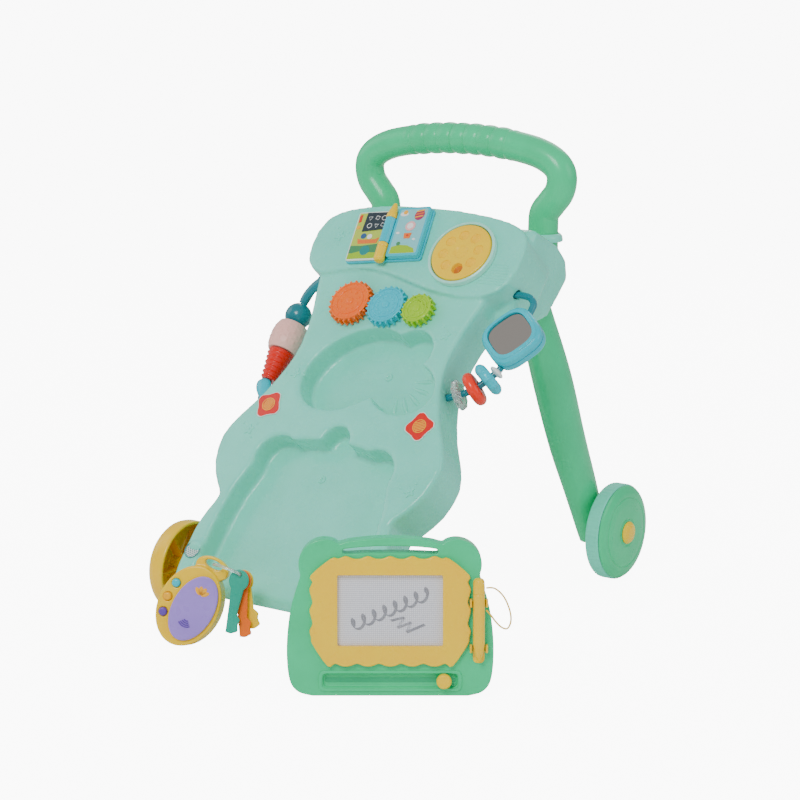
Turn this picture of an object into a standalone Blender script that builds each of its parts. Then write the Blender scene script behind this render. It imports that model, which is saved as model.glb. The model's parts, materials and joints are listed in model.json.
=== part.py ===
"""Push-along baby walker with a leaning play panel, a drawing board and a key fob.

Lengths are in metres. +Z is up, +Y runs from the play panel back to the handle, and +X is the
child's right-hand side seen from the front. The origin is on the floor under the middle of the
whole set. Panel features are placed in a slope frame: x across the panel, s up the slope and
n out of its face.
"""
import math

import bpy
import bmesh
from mathutils import Matrix, Vector

# ---- driving dimensions -------------------------------------------------------------------
ORIGIN_SHIFT = (-0.0451, -0.1294, 0.0)    # from the front axle's middle to the set's middle
GAP = 0.0003                              # clearance between pieces that touch
WALL = 0.003

SLOPE_ANGLE = math.radians(50.0)          # the panel's slope above the floor
SLOPE_FOOT = (0.0, -0.0719, 0.025)        # where s = 0 on the panel's face
BODY_DEPTH = 0.048
SPLIT_DEPTH = 0.045                       # front and back shells meet on this plane
FLOOR_CLEARANCE = 0.030
TOE_Y = -0.054
BAND_Y = -0.026                           # front of the low band between the toes

# half-width of the panel up the slope: toe, notch, bulge, waist, shoulder
BODY_OUTLINE = [(0.016, 0.100), (0.024, 0.111), (0.050, 0.1155), (0.090, 0.1155),
                (0.112, 0.1110), (0.130, 0.1055), (0.143, 0.1155), (0.165, 0.1295),
                (0.195, 0.1345), (0.220, 0.1250), (0.245, 0.1100), (0.280, 0.0955),
                (0.310, 0.0905), (0.345, 0.0945), (0.370, 0.1010), (0.410, 0.1100)]
# the head's outline: wavy lip from left to right, then back round over the top
HEAD_OUTLINE = [(-0.124, 0.405), (-0.102, 0.392), (-0.070, 0.400), (-0.038, 0.4025),
                (-0.004, 0.396), (0.037, 0.3855), (0.076, 0.381), (0.105, 0.385),
                (0.125, 0.402), (0.129, 0.430), (0.126, 0.452), (0.112, 0.467),
                (0.080, 0.476), (0.040, 0.4805), (0.0, 0.482), (-0.040, 0.4815),
                (-0.080, 0.477), (-0.112, 0.467), (-0.126, 0.452), (-0.129, 0.430)]
HEAD_RISE = 0.005                         # the deck stands this far proud of the panel
HOUSING_HALF = 0.124
HOUSING_PROFILE = [(0.205, 0.340), (0.236, 0.384), (0.283, 0.362), (0.300, 0.345),
                   (0.303, 0.325), (0.268, 0.292), (0.225, 0.286), (0.190, 0.290)]
CHASSIS_HALF = 0.1115
CHASSIS_PROFILE = [(-0.020, 0.031), (0.018, 0.031), (0.024, 0.038), (0.024, 0.062),
                   (0.006, 0.084), (-0.030, 0.084)]

UPPER_WELL_DEPTH = 0.026
LOWER_WELL_DEPTH = 0.025
BOARD_EAR_X = 0.0587
BOARD_EAR_Z = 0.1185
BOARD_EAR_R = 0.0231
BOARD_THICK = 0.021
DOCK_TOP_S = 0.2035                       # ears of the docked board reach this far up
DOCK_CLEARANCE = 0.002

AXLE_R = 0.004
FRONT_AXLE = (0.0, 0.0, 0.047)
REAR_AXLE_Y = 0.3606
REAR_AXLE_Z = 0.051
FRONT_WHEEL_R = 0.047
FRONT_WHEEL_X = 0.131                     # inner edge of a front wheel
REAR_WHEEL_R = 0.051
REAR_WHEEL_X = 0.1425                     # inner edge of a rear wheel

TUBE_R = 0.0155
HANDLE_Y = 0.290
HANDLE_HALF = [(0.099, 0.328), (0.099, 0.350), (0.099, 0.380), (0.1005, 0.393),
               (0.1085, 0.4035), (0.1170, 0.4140), (0.1205, 0.4255), (0.1190, 0.4360),
               (0.1110, 0.4450), (0.0960, 0.4525), (0.0760, 0.4575), (0.0450, 0.4620),
               (0.0150, 0.4640)]
LEG_R = 0.0165
LEG_FLATNESS = 1.4                        # front-to-back over sideways size of a leg's oval
LEG_PATH = [(0.1030, 0.2605, 0.312), (0.1045, 0.2665, 0.294), (0.1125, 0.2880, 0.225),
            (0.1180, 0.3110, 0.155), (0.1210, 0.3350, 0.100), (0.1222, 0.3500, 0.066),
            (0.1225, 0.3590, 0.048), (0.1225, 0.3615, 0.040)]
LEG_SWELL = [0.93, 0.94, 1.10, 1.06, 0.96, 0.88, 0.86, 0.80]

GEAR_MODULE = 0.00195
GEAR_THICK = 0.009
GEAR_LIFT = 0.001
ORANGE_TEETH = 24
CYAN_TEETH = 22
GREEN_TEETH = 17
GEAR_S = 0.3595
CYAN_GEAR_X = 0.0
DIAL_X = 0.062
DIAL_S = 0.428
DIAL_R = 0.0335
DIAL_THICK = 0.0065
BEZEL_R = 0.0375
SHAFT_R = 0.003
SHAFT_HOLE_R = 0.0033

BOOK_X = -0.033
BOOK_S = 0.441
BOOK_TURN = math.radians(8.0)
PAGE_W = 0.043
PAGE_H = 0.060
SPINE_R = 0.0058

FLOWER_X = 0.093
FLOWER_S = 0.2352
FLOWER_R = 0.0150

MIRROR_X = 0.1431
MIRROR_S = 0.3520
COLUMN_X = 0.125                          # the left play column stands this far from the middle
COLUMN_N = -0.020
COLUMN_ROD_R = 0.0035
LEFT_ROD = [(0.1050, 0.2415), (0.1130, 0.2430), (0.1205, 0.2470), (COLUMN_X, 0.2550),
            (COLUMN_X, 0.2900), (COLUMN_X, 0.3300), (COLUMN_X, 0.3620), (0.1235, 0.3740),
            (0.1215, 0.3860), (0.1165, 0.4020)]
RIGHT_ROD = [(0.0915, 0.2790), (0.1030, 0.2830), (0.1110, 0.2872), (0.1180, 0.2912),
             (0.1240, 0.2968), (0.1295, 0.3035), (0.1345, 0.3100), (0.1393, 0.3178),
             (0.1401, 0.3250), (MIRROR_X, MIRROR_S), (0.1461, 0.3790), (0.1471, 0.3880), (0.1466, 0.3950),
             (0.1400, 0.4015), (0.1290, 0.4035), (0.1150, 0.4035)]
MIRROR_LEAN = math.atan(0.11)             # lean of the rod where the mirror swings

BOARD_FOOT = (0.188, -0.102, 0.0)
BOARD_TURN = math.radians(35.5)
BOARD_LEAN = math.radians(6.0)
FOB_FOOT = (-0.052, -0.097, 0.0)
FOB_TURN = math.radians(28.0)
FOB_LEAN = math.radians(16.0)
FOB_ROLL = math.radians(-24.0)

COLOURS = {
    "mint": ((0.453, 0.799, 0.723), 0.32),
    "green": ((0.0, 0.646, 0.392), 0.35),
    "yellow": ((1.0, 0.591, 0.002), 0.30),
    "orange": ((1.0, 0.216, 0.0), 0.30),
    "cyan": ((0.0, 0.672, 0.708), 0.30),
    "lime": ((0.381, 0.578, 0.0), 0.35),
    "teal": ((0.0, 0.262, 0.305), 0.30),
    "pink": ((0.956, 0.644, 0.604), 0.40),
    "red": ((0.745, 0.023, 0.003), 0.35),
    "ring_orange": ((1.0, 0.069, 0.004), 0.30),
    "purple": ((0.451, 0.319, 0.694), 0.30),
    "white": ((0.86, 0.86, 0.84), 0.30),
    "clear": ((0.80, 0.92, 0.90), 0.15),
    "mirror": ((0.80, 0.80, 0.80), 0.05),
    "screen": ((0.70, 0.72, 0.79), 0.45),
    "steel": ((0.55, 0.56, 0.58), 0.35),
    "board": ((0.02, 0.16, 0.06), 0.50),
    "dark": ((0.03, 0.03, 0.03), 0.50),
    "card": ((0.55, 0.70, 0.20), 0.45),
}


# ---- scene helpers ------------------------------------------------------------------------
def clear_scene():
    for old in list(bpy.data.objects):
        bpy.data.objects.remove(old, do_unlink=True)


def make_collection(name):
    collection = bpy.data.collections.new(name)
    bpy.context.scene.collection.children.link(collection)
    return collection


clear_scene()
PARTS = make_collection("baby_walker")
CUTTERS = make_collection("cutters")
MATERIALS = {}


def material(name):
    """A Principled material for one of the plastics or metals."""
    if name not in MATERIALS:
        colour, roughness = COLOURS[name]
        made = bpy.data.materials.new(name)
        made.use_nodes = True
        shader = made.node_tree.nodes["Principled BSDF"]
        shader.inputs["Base Color"].default_value = (*colour, 1.0)
        shader.inputs["Roughness"].default_value = roughness
        shader.inputs["Metallic"].default_value = 1.0 if name in ("steel", "mirror") else 0.0
        MATERIALS[name] = made
    return MATERIALS[name]


def add_object(name, data, matrix, finish=None):
    """Link a mesh as a part, or as a hidden cutter when it has no finish."""
    made = bpy.data.objects.new(name, data)
    made.matrix_world = matrix
    if finish is None:
        CUTTERS.objects.link(made)
        made.hide_render = True
        made.display_type = "WIRE"
    else:
        PARTS.objects.link(made)
        data.materials.append(material(finish))
    return made


def curve_to_mesh(name, curve, smooth=False):
    """Turn curve data into a closed mesh."""
    holder = bpy.data.objects.new(name + "_curve", curve)
    CUTTERS.objects.link(holder)
    graph = bpy.context.evaluated_depsgraph_get()
    mesh = bpy.data.meshes.new_from_object(holder.evaluated_get(graph))
    bpy.data.objects.remove(holder, do_unlink=True)
    bpy.data.curves.remove(curve)
    work = bmesh.new()
    work.from_mesh(mesh)
    bmesh.ops.remove_doubles(work, verts=work.verts, dist=0.00001)
    work.to_mesh(mesh)
    work.free()
    mesh.name = name
    if smooth:
        mesh.shade_smooth()
        mesh.set_sharp_from_angle(angle=math.radians(40.0))
    return mesh


def prism(name, outline, low, high, matrix, finish=None, bevel=0.0, segments=2):
    """Extrude a closed outline in the frame's x-y plane from low to high along its z."""
    curve = bpy.data.curves.new(name, "CURVE")
    curve.dimensions = "2D"
    curve.fill_mode = "BOTH"
    curve.extrude = (high - low) / 2.0
    spline = curve.splines.new("POLY")
    spline.points.add(len(outline) - 1)
    for point, (x, y) in zip(spline.points, outline):
        point.co = (x, y, 0.0, 1.0)
    spline.use_cyclic_u = True
    mesh = curve_to_mesh(name, curve)
    mesh.transform(Matrix.Translation((0.0, 0.0, (low + high) / 2.0)))
    made = add_object(name, mesh, matrix, finish)
    if bevel > 0.0:
        rim = made.modifiers.new("rim", "BEVEL")
        rim.width = bevel
        rim.segments = segments
        rim.limit_method = "ANGLE"
        rim.angle_limit = math.radians(50.0)
    return made


def box(name, low, high, matrix, finish=None, bevel=0.0):
    """A block between two corners of the frame."""
    outline = [(low[0], low[1]), (high[0], low[1]), (high[0], high[1]), (low[0], high[1])]
    return prism(name, outline, low[2], high[2], matrix, finish, bevel, 1)


def cylinder(name, radius, low, high, matrix, finish=None, sides=20):
    """A cylinder along the frame's z."""
    work = bmesh.new()
    bmesh.ops.create_cone(work, cap_ends=True, segments=sides, radius1=radius, radius2=radius,
                          depth=high - low)
    mesh = bpy.data.meshes.new(name)
    work.to_mesh(mesh)
    work.free()
    mesh.transform(Matrix.Translation((0.0, 0.0, (low + high) / 2.0)))
    return add_object(name, mesh, matrix, finish)


def turned(name, profile, matrix, finish, steps=22):
    """Spin a closed (radius, height) profile about the frame's z with a Screw modifier."""
    mesh = bpy.data.meshes.new(name)
    points = [(radius, 0.0, height) for radius, height in profile]
    closed = profile[0][0] > 0.0
    edges = [(i, i + 1) for i in range(len(points) - 1)]
    if closed:
        edges.append((len(points) - 1, 0))
    mesh.from_pydata(points, edges, [])
    made = add_object(name, mesh, matrix, finish)
    spin = made.modifiers.new("spin", "SCREW")
    spin.axis = "Z"
    spin.steps = steps
    spin.render_steps = steps
    spin.use_merge_vertices = True
    spin.merge_threshold = 0.00001
    spin.use_smooth_shade = True
    return made


def tube(name, points, radius, matrix, finish=None, sides=3, swell=None):
    """A round bar along a list of points, with filled ends; swell scales each point's radius."""
    curve = bpy.data.curves.new(name, "CURVE")
    curve.dimensions = "3D"
    curve.bevel_depth = radius
    curve.bevel_resolution = sides
    curve.use_fill_caps = True
    spline = curve.splines.new("POLY")
    spline.points.add(len(points) - 1)
    for point, place in zip(spline.points, points):
        point.co = (*place, 1.0)
    for point, factor in zip(spline.points, swell or []):
        point.radius = factor
    return add_object(name, curve_to_mesh(name, curve, True), matrix, finish)


def cut(target, tool, operation="DIFFERENCE", solver="EXACT"):
    """Add a Boolean modifier."""
    step = target.modifiers.new(tool.name, "BOOLEAN")
    step.operation = operation
    step.solver = solver
    step.object = tool
    return target


# ---- curves and outlines ------------------------------------------------------------------
def smooth_path(points, steps, closed=False):
    """Points on a smooth curve (Catmull-Rom) through the given ones."""
    count = len(points)
    spans = count if closed else count - 1
    result = []
    for i in range(spans):
        if closed:
            around = [points[(i + k) % count] for k in (-1, 0, 1, 2)]
        else:
            around = [points[min(max(i + k, 0), count - 1)] for k in (-1, 0, 1, 2)]
        for step in range(steps):
            t = step / steps
            result.append(tuple(
                0.5 * (2 * b + (c - a) * t + (2 * a - 5 * b + 4 * c - d) * t * t
                       + (3 * b - a - 3 * c + d) * t ** 3)
                for a, b, c, d in zip(*around)))
    if not closed:
        result.append(tuple(points[-1]))
    return result


def grown(outline, distance):
    """Move a counter-clockwise outline outwards by a distance."""
    result = []
    count = len(outline)
    for i in range(count):
        before = Vector(outline[i - 1])
        here = Vector(outline[i])
        after = Vector(outline[(i + 1) % count])
        first = (here - before).normalized()
        second = (after - here).normalized()
        normal = Vector((first.y + second.y, -first.x - second.x)).normalized()
        lean = max(normal.dot(Vector((first.y, -first.x))), 0.5)
        result.append(tuple(here + normal * (distance / lean)))
    return result


def ellipse(x, y, a, b, turn=0.0, count=28):
    cos_t = math.cos(turn)
    sin_t = math.sin(turn)
    points = []
    for i in range(count):
        angle = 2 * math.pi * i / count
        u = a * math.cos(angle)
        v = b * math.sin(angle)
        points.append((x + u * cos_t - v * sin_t, y + u * sin_t + v * cos_t))
    return points


def body_outline(inset=0.0):
    """Both sides of the panel, counter-clockwise."""
    right = smooth_path(BODY_OUTLINE, 2)
    right = [(half - inset, s) for s, half in right]
    left = [(-half, s) for half, s in reversed(right)]
    return right + left


def head_outline(inset=0.0):
    outline = smooth_path(HEAD_OUTLINE, 2, closed=True)
    return grown(outline, -inset)


def board_outline(grow=0.0):
    """The drawing board's outline: wide foot, two ears and a carry handle between them."""
    half = [(0.070, 0.0), (0.083, 0.004), (0.0905, 0.016), (0.0925, 0.045),
            (0.0890, 0.078), (0.0808, 0.106)]
    for degrees in range(-20, 125, 24):
        angle = math.radians(degrees)
        half.append((BOARD_EAR_X + BOARD_EAR_R * math.cos(angle),
                     BOARD_EAR_Z + BOARD_EAR_R * math.sin(angle)))
    half.append((0.036, 0.1400))
    half.append((0.018, 0.1420))
    top = [(0.0, 0.1428)]
    left = [(-x, y) for x, y in reversed(half)]
    return grown(half + top + left, grow)


def gear_outline(teeth):
    """Rounded play teeth: four points a tooth."""
    pitch = GEAR_MODULE * teeth / 2.0
    points = []
    for i in range(teeth):
        for part, rise in ((-0.25, -1.15), (-0.14, 0.85), (0.14, 0.85), (0.25, -1.15)):
            angle = 2 * math.pi * (i + part) / teeth
            radius = pitch + GEAR_MODULE * rise * 0.9
            points.append((radius * math.cos(angle), radius * math.sin(angle)))
    return points


# ---- frames -------------------------------------------------------------------------------
WORLD = Matrix.Translation(ORIGIN_SHIFT)


def basis(origin, x_axis, y_axis):
    """A frame at a point with two given axes."""
    z_axis = Vector(x_axis).cross(Vector(y_axis))
    frame = Matrix((x_axis, y_axis, z_axis)).transposed().to_4x4()
    return WORLD @ Matrix.Translation(origin) @ frame


SLOPE = basis(SLOPE_FOOT, (1, 0, 0), (0, math.cos(SLOPE_ANGLE), math.sin(SLOPE_ANGLE)))
SIDE = basis((0, 0, 0), (0, 1, 0), (0, 0, 1))


def on_slope(x, s, n=0.0, turn=0.0):
    return SLOPE @ Matrix.Translation((x, s, n)) @ Matrix.Rotation(turn, 4, "Z")


def outward(x, y, z, side):
    """A frame whose z axis points sideways, away from the middle."""
    return basis((x, y, z), (0, side, 0), (0, 0, 1))


def standing(foot, turn, lean, roll=0.0):
    """A frame for something that stands on the floor: x right, y up and z towards the viewer."""
    frame = WORLD @ Matrix.Translation(foot) @ Matrix.Rotation(turn, 4, "Z")
    frame = frame @ Matrix.Rotation(math.radians(90.0) - lean, 4, "X")
    return frame @ Matrix.Rotation(roll, 4, "Z")


# ---- the walker's body --------------------------------------------------------------------
def body_solid(tag, inset):
    """The closed form of the whole casing, or of its hollow when inset."""
    low = -BODY_DEPTH + inset
    solid = prism(tag + "_body", body_outline(inset), low, -inset, SLOPE,
                  bevel=0.006 - inset, segments=1)
    head = prism(tag + "_head", head_outline(inset), -0.052 + inset, HEAD_RISE - inset, SLOPE,
                 bevel=0.0045 - inset, segments=1)
    profile = HOUSING_PROFILE
    if inset > 0.0:
        profile = grown(HOUSING_PROFILE[::-1], -inset)
    housing = prism(tag + "_housing", profile, -HOUSING_HALF + inset, HOUSING_HALF - inset,
                    SIDE, bevel=0.012 - inset, segments=1)
    profile = CHASSIS_PROFILE
    if inset > 0.0:
        profile = grown(CHASSIS_PROFILE, -inset)
    chassis = prism(tag + "_chassis", profile, -CHASSIS_HALF + inset, CHASSIS_HALF - inset,
                    SIDE, bevel=0.004 - inset, segments=1)
    for extra in (head, housing, chassis):
        cut(solid, extra, "UNION", "MANIFOLD")
    below = box(tag + "_below", (-0.2, -0.2, -0.1), (0.2, 0.2, FLOOR_CLEARANCE + inset), WORLD)
    toe = box(tag + "_toe", (-0.2, -0.2, -0.1), (0.2, TOE_Y + inset, 0.2), WORLD)
    cut(solid, below)
    cut(solid, toe)
    return solid


def upper_well(tag, grow, top):
    """The fob's dish: a big oval, a round lobe and a fan."""
    depth = UPPER_WELL_DEPTH + grow
    lobes = [ellipse(-0.014, 0.289, 0.060 + grow, 0.044 + grow, math.radians(35.0), 30),
             ellipse(0.044, 0.317, 0.0245 + grow, 0.0245 + grow, 0.0, 18),
             ellipse(0.053, 0.275, 0.037 + grow, 0.030 + grow, math.radians(-8.0), 20)]
    solids = [prism(tag + "_lobe_%d" % i, lobe, -depth, top, SLOPE)
              for i, lobe in enumerate(lobes)]
    for extra in solids[1:]:
        cut(solids[0], extra, "UNION")
    return solids[0]


def lower_well(tag, grow, top):
    """The board's dock: the board's outline, a finger notch and an open foot."""
    depth = LOWER_WELL_DEPTH + grow
    lift = DOCK_TOP_S - BOARD_EAR_Z - BOARD_EAR_R
    outline = [(x, s + lift) for x, s in board_outline(DOCK_CLEARANCE + grow)]
    dock = prism(tag + "_dock", outline, -depth, top, SLOPE)
    notch = prism(tag + "_notch", ellipse(0.003, 0.205, 0.0165 + grow, 0.0195 + grow, 0.0, 16),
                  -depth + 0.0011, top - 0.0001, SLOPE)
    half = 0.0925 + DOCK_CLEARANCE + grow
    foot = prism(tag + "_foot", [(-half, -0.02), (half, -0.02), (half, 0.10), (-half, 0.10)],
                 -depth + 0.0003, top - 0.0002, SLOPE)
    cut(dock, notch, "UNION")
    cut(dock, foot, "UNION")
    return dock


def casing():
    """The two shells, their wells, bores and sockets."""
    hollow = body_solid("hollow", WALL)
    cut(hollow, upper_well("upper_tub", WALL, 0.02))
    cut(hollow, lower_well("lower_tub", WALL, 0.02))
    front_wall = box("band_wall", (-0.0975, -0.2, 0.0), (0.0975, BAND_Y + WALL, 0.075), WORLD)
    cut(hollow, front_wall)
    half_spaces = {"front_shell": (-SPLIT_DEPTH + GAP / 2, 0.2),
                   "back_shell": (-0.3, -SPLIT_DEPTH - GAP / 2)}
    sockets = handle_cutters() + leg_cutters()
    bore = cylinder("axle_bore", AXLE_R + 0.0004, -0.15, 0.15, outward(*FRONT_AXLE, 1))
    band = box("band", (-0.0945, -0.2, 0.0), (0.0945, BAND_Y, 0.075), WORLD)
    for name, (low, high) in half_spaces.items():
        shell = body_solid(name, 0.0)
        shell.name = name
        CUTTERS.objects.unlink(shell)
        PARTS.objects.link(shell)
        shell.hide_render = False
        shell.display_type = "TEXTURED"
        shell.data.materials.append(material("mint"))
        space = box(name + "_side", (-0.3, -0.2, low), (0.3, 0.7, high), SLOPE)
        cut(shell, space, "INTERSECT")
        cut(shell, hollow)
        cut(shell, bore)
        for socket in sockets:
            cut(shell, socket)
        if name == "front_shell":
            cut(shell, upper_well("upper_well", 0.0, 0.03))
            cut(shell, lower_well("lower_well", 0.0, 0.03))
            cut(shell, band)
            for hole in shaft_holes():
                cut(shell, hole)
            for side in (-1, 1):
                hole = tube("rod_hole_%d" % side, rod_points(side), COLUMN_ROD_R + GAP * 2,
                            SLOPE, None, 2)
                cut(shell, hole, "DIFFERENCE", "MANIFOLD")
        else:
            cut(shell, box("battery_window", (-0.034, 0.262, -0.06), (0.034, 0.338, -0.04), SLOPE))


def shaft_holes():
    places = [(x, GEAR_S) for x in gear_centres().values()] + [(DIAL_X, DIAL_S)]
    return [cylinder("shaft_hole_%d" % i, SHAFT_HOLE_R, -0.02, 0.02, on_slope(x, s), sides=12)
            for i, (x, s) in enumerate(places)]


def battery_bay():
    """The cover, the circuit board and the loudspeaker behind the panel."""
    box("battery_cover", (-0.0337, 0.2623, -0.0480), (0.0337, 0.3377, -0.0455), SLOPE, "mint",
        bevel=0.0006)
    box("circuit_board", (-0.030, 0.412, -0.0300), (0.025, 0.452, -0.0284), SLOPE, "board")
    turned("speaker", [(0.0, -0.010), (0.009, -0.010), (0.0185, -0.017), (0.0185, -0.0195),
                       (0.010, -0.026), (0.0, -0.026)], on_slope(0.098, 0.425, 0.004),
           "dark", 20)


# ---- handle, legs and wheels --------------------------------------------------------------
def handle_points():
    half = [(x, HANDLE_Y, z) for x, z in smooth_path(HANDLE_HALF, 2)]
    return half + [(-x, y, z) for x, y, z in reversed(half)]


def handle():
    tube("handle_bar", handle_points(), TUBE_R, WORLD, "green", 3)


def handle_cutters():
    return [cylinder("handle_socket_%d" % i, TUBE_R + GAP * 2, 0.322, 0.420,
                     WORLD @ Matrix.Translation((side * 0.099, HANDLE_Y, 0.0)), sides=20)
            for i, side in enumerate((-1, 1))]


LEG_FRAME = WORLD @ Matrix.Scale(LEG_FLATNESS, 4, (0, 1, 0))


def leg_points(side):
    """A leg's centre line in its flattened frame."""
    return [(side * x, y / LEG_FLATNESS, z) for x, y, z in smooth_path(LEG_PATH, 2)]


def legs():
    swell = [factor for (factor,) in smooth_path([(factor,) for factor in LEG_SWELL], 2)]
    for name, side in (("left_leg", -1), ("right_leg", 1)):
        leg = tube(name, leg_points(side), LEG_R, LEG_FRAME, "green", 3, swell)
        x = side * LEG_PATH[-1][0]
        stub = cylinder(name + "_bore", AXLE_R + GAP, -0.010, 0.03,
                        outward(x, REAR_AXLE_Y, REAR_AXLE_Z, side))
        cut(leg, stub)
        profile = [(0.0, 0.034), (AXLE_R, 0.034), (AXLE_R, -0.0095), (0.0, -0.0095)]
        turned(name.replace("leg", "rear_axle"), profile,
               outward(x, REAR_AXLE_Y, REAR_AXLE_Z, side), "steel", 16)


def leg_cutters():
    result = []
    for i, side in enumerate((-1, 1)):
        top, low = [Vector((side * x, y / LEG_FLATNESS, z)) for x, y, z in LEG_PATH[:2]]
        turn = (top - low).normalized().to_track_quat("Z", "Y").to_matrix().to_4x4()
        frame = LEG_FRAME @ Matrix.Translation(low) @ turn
        result.append(cylinder("leg_socket_%d" % i, LEG_R + GAP * 4, -0.048, 0.0195, frame))
    return result


def wheels():
    front = [(0.0044, 0.0255), (0.013, 0.0255), (0.030, 0.0250), (0.041, 0.0215),
             (0.0455, 0.0165), (FRONT_WHEEL_R, 0.011), (FRONT_WHEEL_R, 0.002), (0.0462, 0.0),
             (0.0435, 0.0), (0.0435, 0.013), (0.038, 0.0185), (0.012, 0.0210),
             (0.012, 0.001), (0.0044, 0.001)]
    shell = [(0.0043, 0.0225), (0.0135, 0.0225), (0.030, 0.0220), (0.042, 0.0203),
             (0.0475, 0.0182), (0.0500, 0.0158), (0.0405, 0.0158), (0.0405, 0.002),
             (0.0380, 0.002), (0.0380, 0.0168), (0.012, 0.0195), (0.012, 0.001),
             (0.0043, 0.001)]
    tread = [(0.0410, 0.0153), (0.0500, 0.0153), (REAR_WHEEL_R, 0.0141), (REAR_WHEEL_R, 0.0012),
             (0.0500, 0.0), (0.0410, 0.0)]
    cap = [(0.0, 0.0048), (0.006, 0.0044), (0.0105, 0.0030), (0.0120, 0.0010), (0.0120, 0.0),
           (0.0, 0.0)]
    profile = [(0.0, 0.152), (AXLE_R, 0.152), (AXLE_R, -0.152), (0.0, -0.152)]
    turned("front_axle", profile, outward(*FRONT_AXLE, 1), "steel", 16)
    for word, side in (("left", -1), ("right", 1)):
        x, y, z = FRONT_AXLE
        turned(word + "_front_wheel", front, outward(side * FRONT_WHEEL_X, y, z, side), "yellow")
        turned(word + "_front_hub_cap", cap,
               outward(side * (FRONT_WHEEL_X + 0.0258), y, z, side), "orange", 18)
        place = (side * REAR_WHEEL_X, REAR_AXLE_Y, REAR_AXLE_Z)
        turned(word + "_rear_wheel", shell, outward(*place, side), "green")
        turned(word + "_rear_tread", tread, outward(*place, side), "mint")
        turned(word + "_rear_hub_cap", cap,
               outward(side * (REAR_WHEEL_X + 0.0228), REAR_AXLE_Y, REAR_AXLE_Z, side),
               "yellow", 18)


# ---- things on the deck and panel ---------------------------------------------------------
def gear_centres():
    """X of each gear's axis, spaced so that the pitch circles touch."""
    left = GEAR_MODULE * (ORANGE_TEETH + CYAN_TEETH) / 2.0
    right = GEAR_MODULE * (CYAN_TEETH + GREEN_TEETH) / 2.0
    return {"orange": CYAN_GEAR_X - left, "cyan": CYAN_GEAR_X, "lime": CYAN_GEAR_X + right}


def gears():
    half_tooth = {"orange": math.pi / ORANGE_TEETH, "cyan": 0.0,
                  "lime": math.pi / GREEN_TEETH}
    counts = {"orange": ORANGE_TEETH, "cyan": CYAN_TEETH, "lime": GREEN_TEETH}
    names = {"orange": "orange_gear", "cyan": "cyan_gear", "lime": "green_gear"}
    for key, x in gear_centres().items():
        teeth = counts[key]
        turn = half_tooth[key] if key == "orange" else math.pi + half_tooth[key]
        frame = on_slope(x, GEAR_S, 0.0, 0.0 if key == "cyan" else turn)
        gear = prism(names[key], gear_outline(teeth), GEAR_LIFT, GEAR_LIFT + GEAR_THICK, frame,
                     key)
        cut(gear, cylinder(names[key] + "_shaft", SHAFT_R, -0.0080, 0.0050, frame, sides=12),
            "UNION")


def dial():
    frame = on_slope(DIAL_X, DIAL_S)
    base = HEAD_RISE + GAP
    top = base + DIAL_THICK
    disc = turned("yellow_dial", [(0.0, top), (0.030, top), (DIAL_R, top - 0.002),
                                  (DIAL_R, base + 0.0007), (SHAFT_R, base + 0.0007),
                                  (SHAFT_R, -0.010), (0.0, -0.010)], frame, "yellow", 26)
    hole = on_slope(DIAL_X + 0.004, DIAL_S - 0.0195)
    cut(disc, cylinder("finger_hole", 0.0065, top - 0.0045, 0.05, hole))
    turned("dial_bezel", [(0.0340, top - 0.001), (0.0358, top), (BEZEL_R, top - 0.0015),
                          (BEZEL_R, base), (0.0340, base)], frame, "mint", 26)


def book():
    """An open play book: a tray, a printed page, a page that turns and a pencil spine."""
    frame = on_slope(BOOK_X, BOOK_S, HEAD_RISE, BOOK_TURN)
    half = PAGE_H / 2.0
    box("book_tray", (-PAGE_W - 0.002, -half - 0.001, GAP), (PAGE_W + 0.002, half + 0.001, 0.0035),
        frame, "cyan", bevel=0.001)
    box("left_page", (-PAGE_W - 0.001, -half, 0.0038), (-SPINE_R - 0.0006, half, 0.0062), frame,
        "card", bevel=0.0006)
    spine_height = 0.0038 + SPINE_R + 0.0002
    axis = frame @ Matrix.Translation((0.0, 0.0, spine_height))
    low = -spine_height + 0.0038
    box("turning_page", (SPINE_R + 0.0006, -half, low), (PAGE_W + 0.001, half, low + 0.0065), axis,
        "cyan", bevel=0.0015)
    along = axis @ Matrix.Rotation(math.radians(-90.0), 4, "X")
    turned("pencil_body", [(0.0, 0.0165), (SPINE_R, 0.0165), (SPINE_R, -0.0135),
                           (0.0, -0.0135)], along, "cyan", 16)
    turned("pencil_tip", [(0.0, 0.036), (0.0018, 0.0355), (0.0045, 0.026), (SPINE_R, 0.0168 + 0.004),
                          (SPINE_R, 0.0168), (0.0, 0.0168)], along, "yellow", 16)
    turned("pencil_eraser", [(0.0, -0.0138), (SPINE_R, -0.0138), (SPINE_R, -0.0330),
                             (0.0040, -0.0355), (0.0, -0.0358)], along, "yellow", 16)


def flower_plates():
    for word, side in (("left", -1), ("right", 1)):
        points = []
        for i in range(40):
            angle = 2 * math.pi * i / 40
            radius = FLOWER_R * (0.86 + 0.14 * math.cos(5 * angle))
            points.append((radius * math.cos(angle), radius * math.sin(angle)))
        prism(word + "_flower_plate", points, GAP, 0.0014,
              on_slope(side * FLOWER_X, FLOWER_S, 0.0, math.radians(20.0)), "red")


# ---- play columns -------------------------------------------------------------------------
def column_frame(side, x, s, lean=0.0):
    """A frame on a column's axis: z up the slope, leaning outwards."""
    return (on_slope(side * x, s, COLUMN_N, -side * lean)
            @ Matrix.Rotation(math.radians(-90.0), 4, "X"))


def rod_points(side):
    """Out of the casing's side, past the panel, and back into the head."""
    outline = LEFT_ROD if side < 0 else RIGHT_ROD
    return [(side * x, s, COLUMN_N) for x, s in smooth_path(outline, 2)]


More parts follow.
